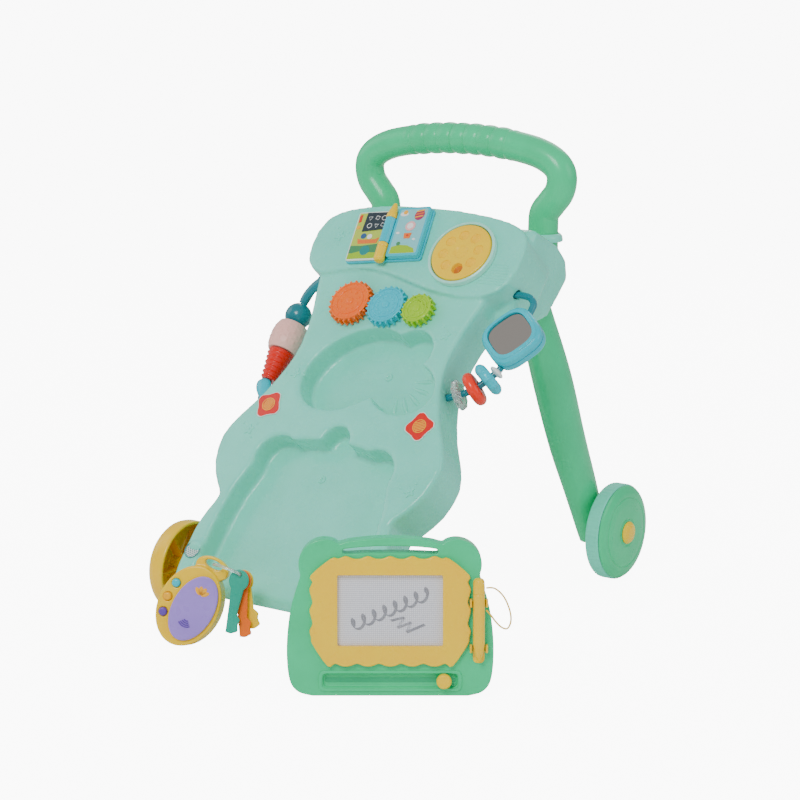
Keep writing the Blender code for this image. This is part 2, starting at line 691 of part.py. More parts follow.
def sleeve(name, profile, frame, finish, steps=18, inner=COLUMN_ROD_R + 0.0006):
    """A bead on a rod: its inner wall keeps clear of the rod."""
    low = min(height for _, height in profile)
    high = max(height for _, height in profile)
    loop = [(inner, high)] + profile + [(inner, low)]
    return turned(name, loop, frame, finish, steps)


def left_column():
    tube("left_rod", rod_points(-1), COLUMN_ROD_R, SLOPE, "cyan", 2)
    ball = [(0.0140 * math.cos(math.radians(a)), 0.0140 * math.sin(math.radians(a)))
            for a in range(70, -56, -18)]
    sleeve("teal_ball", ball, column_frame(-1, COLUMN_X, 0.3510), "teal", 18)
    barrel = [(0.0145, 0.0160), (0.0170, 0.0110), (0.0176, 0.0), (0.0168, -0.0100),
              (0.0142, -0.0160)]
    sleeve("pink_barrel", barrel, column_frame(-1, COLUMN_X, 0.3225), "pink", 20)
    cone = [(0.0130, 0.0165)]
    for ridge in range(6):
        height = 0.0135 - ridge * 0.0052
        radius = 0.0128 - ridge * 0.0010
        cone += [(radius, height), (radius - 0.0017, height - 0.0026)]
    cone.append((0.0070, -0.0165))
    sleeve("red_cone", cone, column_frame(-1, COLUMN_X, 0.2885), "red", 16)


def right_column():
    tube("right_rod", rod_points(1), COLUMN_ROD_R, SLOPE, "teal", 2)
    ring = [(0.0120, 0.0055), (0.0160, 0.0035), (0.0178, 0.0), (0.0160, -0.0035),
            (0.0120, -0.0055)]
    knobs = [(0.0120, 0.0055), (0.0158, 0.0042), (0.0172, 0.0), (0.0158, -0.0042),
             (0.0120, -0.0055)]
    disc = [(0.0125, 0.0035), (0.0150, 0.0020), (0.0150, -0.0020), (0.0125, -0.0035)]
    bead = [(0.0062, 0.0026), (0.0078, 0.0), (0.0062, -0.0026)]
    sleeve("clear_gear", disc, column_frame(1, 0.1066, 0.2849, math.radians(62.0)), "clear",
           inner=0.0046)
    sleeve("orange_ring", ring, column_frame(1, 0.1208, 0.2936, math.radians(46.0)),
           "ring_orange", inner=0.0052)
    sleeve("cyan_knob_ring", knobs, column_frame(1, 0.1314, 0.3060, math.radians(35.0)), "cyan",
           inner=0.0050)
    sleeve("white_bead", bead, column_frame(1, 0.1374, 0.3148, math.radians(27.0)), "white", 14,
           inner=0.0046)
    mirror()


def squircle(half, power=3.2, count=32):
    points = []
    for i in range(count):
        angle = 2 * math.pi * i / count
        c = math.cos(angle)
        s = math.sin(angle)
        scale = (abs(c) ** power + abs(s) ** power) ** (-1.0 / power)
        points.append((half * scale * c, half * scale * s))
    return points


def mirror():
    """A rounded-square frame that swings on the right rod, and its mirror."""
    frame = on_slope(MIRROR_X, MIRROR_S, COLUMN_N, math.radians(50.0))
    body = prism("mirror_frame", squircle(0.0285), -0.0060, 0.0140, frame, "cyan", bevel=0.004)
    cut(body, prism("mirror_recess", squircle(0.0215), 0.0100, 0.03, frame))
    bore = cylinder("mirror_bore", COLUMN_ROD_R + 0.0012, -0.034, 0.034,
                    column_frame(1, MIRROR_X, MIRROR_S, MIRROR_LEAN))
    cut(body, bore, "DIFFERENCE", "MANIFOLD")
    prism("mirror_glass", squircle(0.0211), 0.0100 + GAP, 0.0118, frame, "mirror")


# ---- drawing board ------------------------------------------------------------------------
def scalloped(half_x, half_y, wave, count_x, count_y, centre_y):
    """A rectangle outline with a shallow wave along each side."""
    points = []
    corners = [(-half_x, -half_y), (half_x, -half_y), (half_x, half_y), (-half_x, half_y)]
    for i, waves in enumerate((count_x, count_y, count_x, count_y)):
        start = Vector(corners[i])
        end = Vector(corners[(i + 1) % 4])
        along = (end - start).normalized()
        out = Vector((along.y, -along.x))
        steps = waves * 4
        for step in range(2, steps - 1):
            t = step / steps
            swell = wave * (0.5 - 0.5 * math.cos(2 * math.pi * waves * t))
            place = start.lerp(end, t) + out * swell
            points.append((place.x, place.y + centre_y))
    return points


def drawing_board():
    frame = standing(BOARD_FOOT, BOARD_TURN, BOARD_LEAN)
    low = BOARD_THICK * math.tan(BOARD_LEAN)
    up = frame @ Matrix.Translation((0.0, low, 0.0))
    body = prism("board_body", board_outline(), -BOARD_THICK, 0.0, up, "green", bevel=0.004)
    slot = [(-0.040, 0.1275), (-0.020, 0.1283), (0.0, 0.1285), (0.020, 0.1283), (0.040, 0.1275),
            (0.040, 0.1335), (0.020, 0.1368), (0.0, 0.1377), (-0.020, 0.1368), (-0.040, 0.1335)]
    cut(body, prism("carry_slot", slot, -0.05, 0.02, up))
    groove = [(-0.060, 0.0080), (0.060, 0.0080), (0.060, 0.0200), (-0.060, 0.0200)]
    cut(body, prism("eraser_groove", groove, -0.004, 0.02, up))
    cut(body, prism("screen_seat", [(-0.050, 0.044), (0.050, 0.044), (0.050, 0.112),
                                    (-0.050, 0.112)], -0.003, 0.02, up))
    rim = prism("board_frame", scalloped(0.0690, 0.0470, 0.0030, 7, 5, 0.0770), GAP, 0.0040, up,
                "yellow")
    cut(rim, prism("frame_window", [(-0.047, 0.046), (0.047, 0.046), (0.047, 0.110),
                                    (-0.047, 0.110)], -0.01, 0.02, up))
    prism("drawing_screen", [(-0.0495, 0.0445), (0.0495, 0.0445), (0.0495, 0.1115),
                             (-0.0495, 0.1115)], -0.0027, 0.0, up, "screen")
    pen_frame = up @ Matrix.Translation((0.0790, 0.0, 0.0060)) @ Matrix.Rotation(
        math.radians(-90.0), 4, "X")
    turned("pen", [(0.0, 0.1080), (0.0040, 0.1060), (0.0052, 0.1010), (0.0052, 0.0480),
                   (0.0040, 0.0400), (0.0014, 0.0330), (0.0, 0.0325)], pen_frame, "yellow", 16)
    cord = [(0.0852, 0.0990, 0.0060), (0.0930, 0.0985, 0.0062), (0.1010, 0.0910, 0.0066),
            (0.1062, 0.0790, 0.0068), (0.1072, 0.0690, 0.0066), (0.1040, 0.0625, 0.0064),
            (0.0985, 0.0640, 0.0062), (0.0935, 0.0690, 0.0062), (0.0895, 0.0745, 0.0062),
            (0.0855, 0.0790, 0.0062)]
    tube("pen_cord", smooth_path(cord, 4), 0.0008, up, "yellow", 2)
    knob = up @ Matrix.Translation((0.0480, 0.0140, 0.0))
    turned("eraser_knob", [(0.0, 0.0070), (0.0050, 0.0064), (0.0068, 0.0040), (0.0068, 0.0006),
                           (0.0040, 0.0004), (0.0040, -0.0036), (0.0, -0.0036)], knob,
           "yellow", 18)


# ---- key fob ------------------------------------------------------------------------------
def key_fob():
    frame = standing(FOB_FOOT, FOB_TURN, FOB_LEAN)
    tilted = frame @ Matrix.Translation((0.0, 0.0447, 0.0)) @ Matrix.Rotation(FOB_ROLL, 4, "Z")
    body = prism("fob_body", ellipse(0.0, -0.003, 0.0300, 0.0400, 0.0, 32), -0.0130, 0.0100, tilted,
                 "yellow", bevel=0.006, segments=1)
    loop = prism("fob_loop", ellipse(0.004, 0.0385, 0.0170, 0.0110, 0.0, 20), -0.0060, 0.0050,
                 tilted, bevel=0.002, segments=1)
    cut(body, loop, "UNION")
    cut(body, prism("fob_loop_hole", ellipse(0.004, 0.0425, 0.0095, 0.0040, 0.0, 14), -0.03, 0.03,
                    tilted))
    inlay = ellipse(0.0060, -0.003, 0.0205, 0.0330, math.radians(-4.0), 28)
    prism("fob_inlay", inlay, 0.0100 + GAP, 0.0125, tilted, "purple", bevel=0.0008, segments=1)
    cap = [(0.0, 0.0030), (0.0030, 0.0028), (0.0042, 0.0012), (0.0042, -0.0012), (0.0, -0.0012)]
    buttons = {"fob_cyan_button": (-0.0200, 0.0115, "cyan"),
               "fob_yellow_button": (-0.0218, -0.0035, "yellow"),
               "fob_purple_button": (-0.0195, -0.0185, "purple")}
    for name, (x, y, finish) in buttons.items():
        place = tilted @ Matrix.Translation((x, y, 0.0100))
        cut(body, cylinder(name + "_recess", 0.0045, -0.0026, 0.010, place, sides=14))
        turned(name, cap, place, finish, 14)
    keys(frame)


KEY_HINGE = (0.0480, 0.0735, 0.0020)


def keys(frame):
    """Three keys that swing on a clear link through the fob's loop."""
    x, y, z = KEY_HINGE
    ring_r = 0.0015
    route = [(0.0209, 0.0820, -0.0095), (0.0209, 0.0820, 0.0030), (0.0236, 0.0818, 0.0105),
             (0.0320, 0.0800, 0.0150), (0.0445, 0.0757, 0.0158), (x, y, 0.0142),
             (x, y, 0.0100), (x, y, 0.0), (x, y, -0.0090)]
    tube("key_link", smooth_path(route, 2), ring_r, frame, "clear", 2)
    shapes = {"teal_key": (0.0080, -8.0, "teal", 0.0560),
              "orange_key": (0.0020, 5.0, "orange", 0.0590),
              "yellow_key": (-0.0040, 14.0, "yellow", 0.0520)}
    for name, (offset, swing, finish, length) in shapes.items():
        hinge = (frame @ Matrix.Translation((x, y, z + offset))
                 @ Matrix.Rotation(math.radians(swing), 4, "Z"))
        head = [(0.0095 * math.cos(math.radians(a)), -0.006 + 0.0105 * math.sin(math.radians(a)))
                for a in range(-50, 231, 28)]
        shaft = [(-0.0040, -length), (0.0010, -length - 0.001), (0.0075, -length + 0.002),
                 (0.0060, -length + 0.008), (0.0080, -length + 0.013), (0.0040, -length + 0.018)]
        key = prism(name, head + shaft, -0.0018, 0.0018, hinge, finish, bevel=0.0006,
                    segments=1)
        cut(key, cylinder(name + "_eye", ring_r + 0.0006, -0.01, 0.01, hinge, sides=14))


casing()
battery_bay()
handle()
legs()
wheels()
gears()
dial()
book()
flower_plates()
left_column()
right_column()
drawing_board()
key_fob()
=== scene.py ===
"""Looks of a push-along baby walker with its drawing board and key fob."""

import json
import logging
import math
from dataclasses import dataclass
from enum import Enum
from typing import Callable, Iterable, Optional, Sequence

import bmesh
import bpy
from mathutils import Matrix, Vector


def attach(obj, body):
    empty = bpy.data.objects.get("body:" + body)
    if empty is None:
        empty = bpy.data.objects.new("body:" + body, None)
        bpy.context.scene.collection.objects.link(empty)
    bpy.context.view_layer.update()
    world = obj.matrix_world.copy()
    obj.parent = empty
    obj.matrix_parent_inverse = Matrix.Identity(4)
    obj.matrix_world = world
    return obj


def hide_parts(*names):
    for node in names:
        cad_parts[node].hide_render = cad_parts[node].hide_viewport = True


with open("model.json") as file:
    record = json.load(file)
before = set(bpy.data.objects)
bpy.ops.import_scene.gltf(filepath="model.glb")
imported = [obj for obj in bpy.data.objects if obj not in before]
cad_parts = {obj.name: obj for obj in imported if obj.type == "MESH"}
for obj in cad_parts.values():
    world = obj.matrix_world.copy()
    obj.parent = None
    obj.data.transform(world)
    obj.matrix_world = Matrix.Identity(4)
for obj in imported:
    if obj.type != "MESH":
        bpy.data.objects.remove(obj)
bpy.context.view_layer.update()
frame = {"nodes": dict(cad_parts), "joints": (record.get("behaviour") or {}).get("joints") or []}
LOG = logging.getLogger("walker")
Point2 = tuple[float, float]
Point3 = tuple[float, float, float]


# ---- finishes -----------------------------------------------------------------------------
def linear(code: str, alpha: float = 1.0) -> tuple[float, float, float, float]:
    """Turn an sRGB hex colour into linear light.

    Args:
        code: colour as "#RRGGBB".
        alpha: opacity to append.

    Returns:
        Linear red, green, blue and the alpha.
    """
    parts = [int(code[i:i + 2], 16) / 255.0 for i in (1, 3, 5)]
    red, green, blue = [c / 12.92 if c <= 0.04045 else ((c + 0.055) / 1.055) ** 2.4 for c in parts]
    return red, green, blue, alpha


def add_node(tree: bpy.types.NodeTree, kind: str, settings: Optional[dict] = None,
             inputs: Optional[dict] = None) -> bpy.types.Node:
    """Add a node with its settings, values and links.

    Args:
        tree: node tree to add to.
        kind: the node's type name.
        settings: attribute names and values.
        inputs: input names, each with a plain value or an output socket to link from.

    Returns:
        The new node.
    """
    made = tree.nodes.new(kind)
    for key, value in (settings or {}).items():
        setattr(made, key, value)
    for key, value in (inputs or {}).items():
        if isinstance(value, bpy.types.NodeSocket):
            tree.links.new(value, made.inputs[key])
        else:
            made.inputs[key].default_value = value
    return made


def per_metre(size_mm: float) -> float:
    """Texture scale that makes a pattern's features this many millimetres wide."""
    return 1000.0 / size_mm


def blank(name: str) -> tuple[bpy.types.Material, bpy.types.NodeTree, bpy.types.Node,
                              bpy.types.NodeSocket]:
    """A new material, its tree, its shader and its object coordinates."""
    made = bpy.data.materials.new(name)
    made.use_nodes = True
    tree = made.node_tree
    spot = add_node(tree, "ShaderNodeTexCoord").outputs["Object"]
    return made, tree, tree.nodes["Principled BSDF"], spot


def seen_glow(tree: bpy.types.NodeTree, hidden: float, seen: float) -> bpy.types.NodeSocket:
    """A strength that differs between what the camera sees and what lights the walker.

    Args:
        tree: tree of the world or the material.
        hidden: strength for light that reaches the walker.
        seen: strength in the camera's own view.

    Returns:
        The strength's socket.
    """
    view = add_node(tree, "ShaderNodeLightPath").outputs["Is Camera Ray"]
    return add_node(tree, "ShaderNodeMapRange", None,
                    {"Value": view, "To Min": hidden, "To Max": seen}).outputs["Result"]


@dataclass(frozen=True)
class Plastic:
    """Injection-moulded ABS or PP: glossy skin, faint flow mottling and sink-mark ripple.

    The mottle and the ripple are what keep a moulded panel from looking like flat paint.
    """

    name: str
    colour: str
    shade: str
    roughness: float = 0.30
    coat: float = 0.25
    mottle_mm: float = 38.0
    ripple_mm: float = 9.0
    ripple: float = 0.03
    clear: float = 0.0
    soft_glow: float = 0.0

    def material(self) -> bpy.types.Material:
        """Return this plastic's material, making it once."""
        known = bpy.data.materials.get(self.name)
        if known:
            return known
        made, tree, shader, spot = blank(self.name)
        cloud = add_node(tree, "ShaderNodeTexNoise", None,
                         {"Vector": spot, "Scale": per_metre(self.mottle_mm), "Detail": 3.0,
                          "Roughness": 0.55})
        blend = add_node(tree, "ShaderNodeMix", {"data_type": "RGBA"})
        ramp = add_node(tree, "ShaderNodeMapRange", None,
                        {"Value": cloud.outputs["Fac"], "From Min": 0.30, "From Max": 0.75})
        tree.links.new(ramp.outputs["Result"], blend.inputs["Factor"])
        blend.inputs[6].default_value = linear(self.colour)
        blend.inputs[7].default_value = linear(self.shade)
        tree.links.new(blend.outputs[2], shader.inputs["Base Color"])
        wear = add_node(tree, "ShaderNodeTexNoise", None,
                        {"Vector": spot, "Scale": per_metre(14.0), "Detail": 4.0})
        sheen = add_node(tree, "ShaderNodeMapRange", None,
                         {"Value": wear.outputs["Fac"], "From Min": 0.3, "From Max": 0.7,
                          "To Min": self.roughness - 0.04, "To Max": self.roughness + 0.07})
        tree.links.new(sheen.outputs["Result"], shader.inputs["Roughness"])
        wave = add_node(tree, "ShaderNodeTexNoise", None,
                        {"Vector": spot, "Scale": per_metre(self.ripple_mm), "Detail": 2.0})
        bump = add_node(tree, "ShaderNodeBump", None,
                        {"Height": wave.outputs["Fac"], "Strength": self.ripple,
                         "Distance": 0.0006})
        tree.links.new(bump.outputs["Normal"], shader.inputs["Normal"])
        shader.inputs["IOR"].default_value = 1.50
        shader.inputs["Specular IOR Level"].default_value = 0.35
        shader.inputs["Coat Weight"].default_value = self.coat
        shader.inputs["Coat Roughness"].default_value = 0.12
        shader.inputs["Transmission Weight"].default_value = self.clear
        shader.inputs["Subsurface Weight"].default_value = self.soft_glow
        shader.inputs["Subsurface Scale"].default_value = 0.004
        return made


@dataclass(frozen=True)
class Metal:
    """Drawn or silvered metal: a drawn wire has fine lines along it, a silvered sheet is smooth."""

    name: str
    colour: str
    roughness: float
    line_mm: float

    def material(self) -> bpy.types.Material:
        """Return this metal's material, making it once."""
        known = bpy.data.materials.get(self.name)
        if known:
            return known
        made, tree, shader, spot = blank(self.name)
        lines = add_node(tree, "ShaderNodeTexNoise", None,
                         {"Vector": spot, "Scale": per_metre(self.line_mm), "Detail": 3.0})
        rough = add_node(tree, "ShaderNodeMapRange", None,
                         {"Value": lines.outputs["Fac"], "To Min": self.roughness * 0.7,
                          "To Max": self.roughness * 1.3})
        tree.links.new(rough.outputs["Result"], shader.inputs["Roughness"])
        shader.inputs["Base Color"].default_value = linear(self.colour)
        shader.inputs["Metallic"].default_value = 1.0
        return made


@dataclass(frozen=True)
class MeshScreen:
    """Magnetic drawing film over a honeycomb: pale grey with a fine regular mesh of cell walls.

    The real cells are about 1.2 mm wide; they are drawn at 1.8 mm so that they show.
    """

    name: str
    colour: str
    wall: str
    cell_mm: float = 1.8

    def material(self) -> bpy.types.Material:
        """Return the film's material."""
        made, tree, shader, spot = blank(self.name)
        cells = add_node(tree, "ShaderNodeTexVoronoi", {"feature": "DISTANCE_TO_EDGE"},
                         {"Vector": spot, "Scale": per_metre(self.cell_mm), "Randomness": 0.25})
        walls = add_node(tree, "ShaderNodeMapRange", None,
                         {"Value": cells.outputs["Distance"], "From Min": 0.04, "From Max": 0.22})
        blend = add_node(tree, "ShaderNodeMix", {"data_type": "RGBA"},
                         {"Factor": walls.outputs["Result"]})
        blend.inputs[6].default_value = linear(self.wall)
        blend.inputs[7].default_value = linear(self.colour)
        tree.links.new(blend.outputs[2], shader.inputs["Base Color"])
        bump = add_node(tree, "ShaderNodeBump", None,
                        {"Height": walls.outputs["Result"], "Strength": 0.25,
                         "Distance": 0.0002})
        tree.links.new(bump.outputs["Normal"], shader.inputs["Normal"])
        shader.inputs["Roughness"].default_value = 0.42
        return made


MINT = Plastic("mint_abs", "#78EAD4", "#6EE2CA", 0.24, 0.30, soft_glow=0.06)
PALE_MINT = Plastic("pale_mint_abs", "#A8F2E2", "#9CECDA", 0.24, 0.30)
GREEN = Plastic("green_pp", "#00D890", "#00CC86", 0.30, 0.20)
# Darker green: painted shade along the eraser groove's floor.
GROOVE_SHADE_GREEN = Plastic("groove_shade_green_pp", "#00B47A", "#00A870", 0.34, 0.15)
TREAD = Plastic("tread_tpe", "#6CE8CC", "#60DCC0", 0.50, 0.0, ripple_mm=3.0, ripple=0.12)
YELLOW = Plastic("yellow_abs", "#FFD400", "#FFCA00", 0.26, 0.25)
# Yellow darkened as painted shade for the ribs inside the front wheels' hollow; the yellow key
# button takes the same darker yellow.
SHADED_YELLOW = Plastic("shaded_yellow_abs", "#FFB800", "#F8AE00", 0.30, 0.25)
ORANGE = Plastic("orange_abs", "#FF7400", "#FF6800", 0.26, 0.25)
# Darker orange: painted shade inside the dial's deep hole.
PIT_SHADE_ORANGE = Plastic("pit_shade_orange_abs", "#D87C00", "#C46C00", 0.30, 0.30)
RED_ORANGE = Plastic("ring_abs", "#FF2C00", "#F82600", 0.26, 0.25)
RED = Plastic("red_abs", "#F01E00", "#E41800", 0.28, 0.30)
CYAN = Plastic("cyan_abs", "#00C8DC", "#00BCD0", 0.24, 0.30)
LIME = Plastic("lime_abs", "#A6D800", "#98CC00", 0.26, 0.35)
TEAL = Plastic("teal_abs", "#008290", "#007884", 0.24, 0.40)
KEY_TEAL = Plastic("teal_key_abs", "#00AE94", "#00A288", 0.28, 0.30)
PINK = Plastic("pink_tpe", "#FFC8BE", "#F8BCB0", 0.42, 0.05, ripple_mm=3.0, ripple=0.10)
WHITE = Plastic("white_abs", "#FAFAF6", "#F2F2EE", 0.26, 0.35)
PURPLE = Plastic("lilac_abs", "#A888E6", "#9E7EDC", 0.28, 0.30)
DEEP_PURPLE = Plastic("violet_abs", "#6A48B4", "#6040A8", 0.30, 0.25)
STICKER_RED = Plastic("sticker_red", "#E40C00", "#DA0800", 0.30, 0.30, mottle_mm=5.0)
CLEAR = Plastic("clear_ps", "#F0FAF8", "#E6F6F2", 0.10, 0.30, ripple=0.05, clear=0.75)
CORD = Plastic("yellow_pvc_cord", "#FFD21E", "#F6C410", 0.40, 0.10, ripple_mm=2.0)
MASK = Plastic("solder_mask", "#1E6B3C", "#185C32", 0.40, 0.10, ripple_mm=2.0)
SOOT = Plastic("black_pp", "#26282A", "#1C1E20", 0.50, 0.05)
STEEL = Metal("drawn_steel_wire", "#B8BABC", 0.32, 1.5)
SILVERED = Metal("silvered_acrylic", "#BDB7B0", 0.06, 30.0)
SCREEN = MeshScreen("magnetic_film", "#E8EAF2", "#C0C2CE")
PENCIL_GREY = Plastic("drawn_grey", "#8A8C96", "#9A9CA6", 0.55, 0.0, mottle_mm=1.2)


class Ink(Enum):
    """Printing inks under the pages' laminate and on the stickers."""

    SKY = "#7FD0D6"
    MEADOW = "#B9CF4A"
    GRASS = "#3F8E5A"
    LEAF = "#9DC814"
    SLATE = "#24343E"
    CHALK = "#F2F4F2"
    ORANGE = "#F0782A"
    RED = "#E62A1E"
    GOLD = "#FFB62A"
    PLUM = "#A8285E"
    BLUSH = "#F7B4B4"
    NAVY = "#2F5A8C"
    TEAL = "#128A86"
    PAPER = "#E9F6EF"

    def finish(self) -> Plastic:
        """The ink as a laminated print: smooth, glossy, with a slight press mottle."""
        return Plastic("print_" + self.name.lower(), self.value, self.value, 0.24, 0.4,
                       mottle_mm=5.0, ripple=0.04)


# ---- curves and meshes --------------------------------------------------------------------
def smooth_path(points: Sequence[tuple], steps: int, closed: bool = False) -> list[tuple]:
    """Points on a smooth curve through the given ones.

    Args:
        points: the points to pass through, of two or three coordinates.
        steps: points made for each span.
        closed: whether the last point joins the first.

    Returns:
        The denser points.
    """
    count = len(points)
    result = []
    for i in range(count if closed else count - 1):
        if closed:
            around = [points[(i + k) % count] for k in (-1, 0, 1, 2)]
        else:
            around = [points[min(max(i + k, 0), count - 1)] for k in (-1, 0, 1, 2)]
        for step in range(steps):
            t = step / steps
            result.append(tuple(
                0.5 * (2 * b + (c - a) * t + (2 * a - 5 * b + 4 * c - d) * t * t
                       + (3 * b - a - 3 * c + d) * t ** 3)
                for a, b, c, d in zip(*around)))
    if not closed:
        result.append(tuple(points[-1]))
    return result


def rounded(points: Sequence[Point2], radius: float, closed: bool = False,
            steps: int = 4) -> list[Point2]:
    """Fillet the corners of a line.

    Args:
        points: corners of the line.
        radius: how far from each corner the fillet starts, at most 45% of a side.
        closed: whether the last corner joins the first.
        steps: points on each fillet.

    Returns:
        The filleted line.
    """
    count = len(points)
    result = []
    for i, point in enumerate(points):
        here = Vector(point)
        if not closed and i in (0, count - 1):
            result.append(tuple(here))
            continue
        before = Vector(points[i - 1]) - here
        after = Vector(points[(i + 1) % count]) - here
        reach = min(radius, before.length * 0.45, after.length * 0.45)
        start = here + before.normalized() * reach
        end = here + after.normalized() * reach
        for step in range(steps + 1):
            t = step / steps
            result.append(tuple(start * (1 - t) ** 2 + here * 2 * t * (1 - t) + end * t * t))
    return result


def ring_points(radius: float, count: int = 48, centre: Point2 = (0.0, 0.0),
                stretch: float = 1.0, turn: float = 0.0) -> list[Point2]:
    """A circle's or an ellipse's points, counter-clockwise.

    Args:
        radius: half the width.
        count: number of points.
        centre: the middle.
        stretch: height over width.
        turn: turn of the whole shape in radians.

    Returns:
        The outline.
    """
    result = []
    for i in range(count):
        angle = 2 * math.pi * i / count
        x = radius * math.cos(angle)
        y = radius * stretch * math.sin(angle)
        result.append((centre[0] + x * math.cos(turn) - y * math.sin(turn),
                       centre[1] + x * math.sin(turn) + y * math.cos(turn)))
    return result


def slab(name: str, outline: Sequence[Point2], low: float, high: float, edge: float = 0.0,
         segments: int = 3) -> bpy.types.Mesh:
    """A plate with an outline and rounded rims.

    Args:
        name: mesh name.
        outline: counter-clockwise outline.
        low: height of the underside.
        high: height of the top.
        edge: radius of the rims.
        segments: faces across each rim.

    Returns:
        The mesh.
    """
    work = bmesh.new()
    corners = [work.verts.new((x, y, low)) for x, y in outline]
    base = work.faces.new(corners)
    grown = bmesh.ops.extrude_face_region(work, geom=[base])
    tops = [item for item in grown["geom"] if isinstance(item, bmesh.types.BMVert)]
    bmesh.ops.translate(work, vec=(0.0, 0.0, high - low), verts=tops)
    bmesh.ops.recalc_face_normals(work, faces=work.faces)
    if edge > 0.0:
        rims = [e for e in work.edges if abs(e.verts[0].co.z - e.verts[1].co.z) < 1e-7]
        bmesh.ops.bevel(work, geom=rims, offset=edge, segments=segments, profile=0.5,
                        affect="EDGES", clamp_overlap=True)
    mesh = bpy.data.meshes.new(name)
    work.to_mesh(mesh)
    work.free()
    return mesh


def lathe(name: str, profile: Sequence[Point2], steps: int = 96,
          relief: Optional[Callable[[float, float, float], float]] = None) -> bpy.types.Mesh:
    """Turn a profile about the z axis.

    Args:
        name: mesh name.
        profile: (radius, height) points; a profile off the axis at both ends is closed.
        steps: faces round the axis.
        relief: extra radius from (angle, height, radius), for knurls and threads.

    Returns:
        The mesh.
    """
    work = bmesh.new()
    rows = []
    for radius, height in profile:
        row = []
        for i in range(steps):
            angle = 2 * math.pi * i / steps
            extra = relief(angle, height, radius) if relief and radius > 0.0 else 0.0
            reach = radius + extra
            row.append(work.verts.new((reach * math.cos(angle), reach * math.sin(angle), height)))
        rows.append(row)
    pairs = list(zip(rows, rows[1:]))
    if profile[0][0] > 1e-6 and profile[-1][0] > 1e-6:
        pairs.append((rows[-1], rows[0]))
    for lower, upper in pairs:
        for i in range(steps):
            k = (i + 1) % steps
            work.faces.new((lower[i], lower[k], upper[k], upper[i]))
    bmesh.ops.remove_doubles(work, verts=work.verts, dist=1e-6)
    bmesh.ops.recalc_face_normals(work, faces=work.faces)
    mesh = bpy.data.meshes.new(name)
    work.to_mesh(mesh)
    work.free()
    return mesh


def sweep(name: str, path: Sequence[Point3], radius: float | Sequence[float], sides: int = 32,
          flat: float = 1.0, up: Optional[Vector] = None) -> bpy.types.Mesh:
    """A bar along a path with a round or flattened section and flat ends.

    Args:
        name: mesh name.
        path: the bar's centre line.
        radius: one radius, or one for each point.
        sides: faces round the bar.
        flat: thickness of the section over its width.
        up: direction of the section's thin side, where it is flattened.

    Returns:
        The mesh.
    """
    places = [Vector(p) for p in path]
    count = len(places)
    radii = [radius] * count if isinstance(radius, (int, float)) else list(radius)
    work = bmesh.new()
    side = None
    rows = []
    for i, place in enumerate(places):
        along = (places[min(i + 1, count - 1)] - places[max(i - 1, 0)]).normalized()
        if side is None:
            hint = up if up is not None else along.orthogonal()
            side = along.cross(hint).normalized()
        elif up is not None:
            side = along.cross(up).normalized()
        else:
            side = (side - along * side.dot(along)).normalized()
        thin = side.cross(along)
        row = []
        for k in range(sides):
            angle = 2 * math.pi * k / sides
            offset = side * math.cos(angle) + thin * (math.sin(angle) * flat)
            row.append(work.verts.new(place + offset * radii[i]))
        rows.append(row)
    for lower, upper in zip(rows, rows[1:]):
        for k in range(sides):
            j = (k + 1) % sides
            work.faces.new((lower[k], lower[j], upper[j], upper[k]))
    work.faces.new(list(reversed(rows[0])))
    work.faces.new(rows[-1])
    bmesh.ops.recalc_face_normals(work, faces=work.faces)
    mesh = bpy.data.meshes.new(name)
    work.to_mesh(mesh)
    work.free()
    return mesh


def carved(mesh: bpy.types.Mesh, cutters: Iterable[tuple[bpy.types.Mesh, Matrix]],
           added: Iterable[tuple[bpy.types.Mesh, Matrix]] = ()) -> bpy.types.Mesh:
    """Cut shapes out of a mesh and join others to it.

    Args:
        mesh: the mesh to work on.
        cutters: meshes to take away, with their places in the mesh's own frame.
        added: meshes to join, likewise.

    Returns:
        The new mesh.
    """
    holder = bpy.data.objects.new("carving", mesh)
    bpy.context.scene.collection.objects.link(holder)
    helpers = []
    for operation, shapes in (("UNION", added), ("DIFFERENCE", cutters)):
        for shape, place in shapes:
            helper = bpy.data.objects.new("helper", shape)
            bpy.context.scene.collection.objects.link(helper)
            helper.matrix_world = place
            helpers.append(helper)
            step = holder.modifiers.new("step", "BOOLEAN")
            step.operation = operation
            step.solver = "EXACT"
            step.object = helper
    bpy.context.view_layer.update()
    graph = bpy.context.evaluated_depsgraph_get()
    result = bpy.data.meshes.new_from_object(holder.evaluated_get(graph))
    for old in [holder, *helpers]:
        bpy.data.objects.remove(old, do_unlink=True)
    result.name = mesh.name
    return result


def joined(meshes: Sequence[bpy.types.Mesh]) -> bpy.types.Mesh:
    """Put several meshes of one frame together in one."""
    work = bmesh.new()
    for mesh in meshes:
        work.from_mesh(mesh)
    result = bpy.data.meshes.new("joined")
    work.to_mesh(result)
    work.free()
    return result


def softened(mesh: bpy.types.Mesh, voxel: float, passes: int) -> bpy.types.Mesh:
    """Give every edge of a mesh the fillet that a mould leaves.

    Args:
        mesh: a closed mesh.
        voxel: size of the new faces.
        passes: smoothing passes; more of them make wider fillets.

    Returns:
        The filleted mesh.
    """
    holder = bpy.data.objects.new("softening", mesh.copy())
    bpy.context.scene.collection.objects.link(holder)
    step = holder.modifiers.new("voxels", "REMESH")
    step.mode = "VOXEL"
    step.voxel_size = voxel
    smooth = holder.modifiers.new("smooth", "SMOOTH")
    smooth.factor = 0.5
    smooth.iterations = passes
    bpy.context.view_layer.update()
    graph = bpy.context.evaluated_depsgraph_get()
    result = bpy.data.meshes.new_from_object(holder.evaluated_get(graph))
    bpy.data.objects.remove(holder, do_unlink=True)
    result.name = mesh.name
    return result


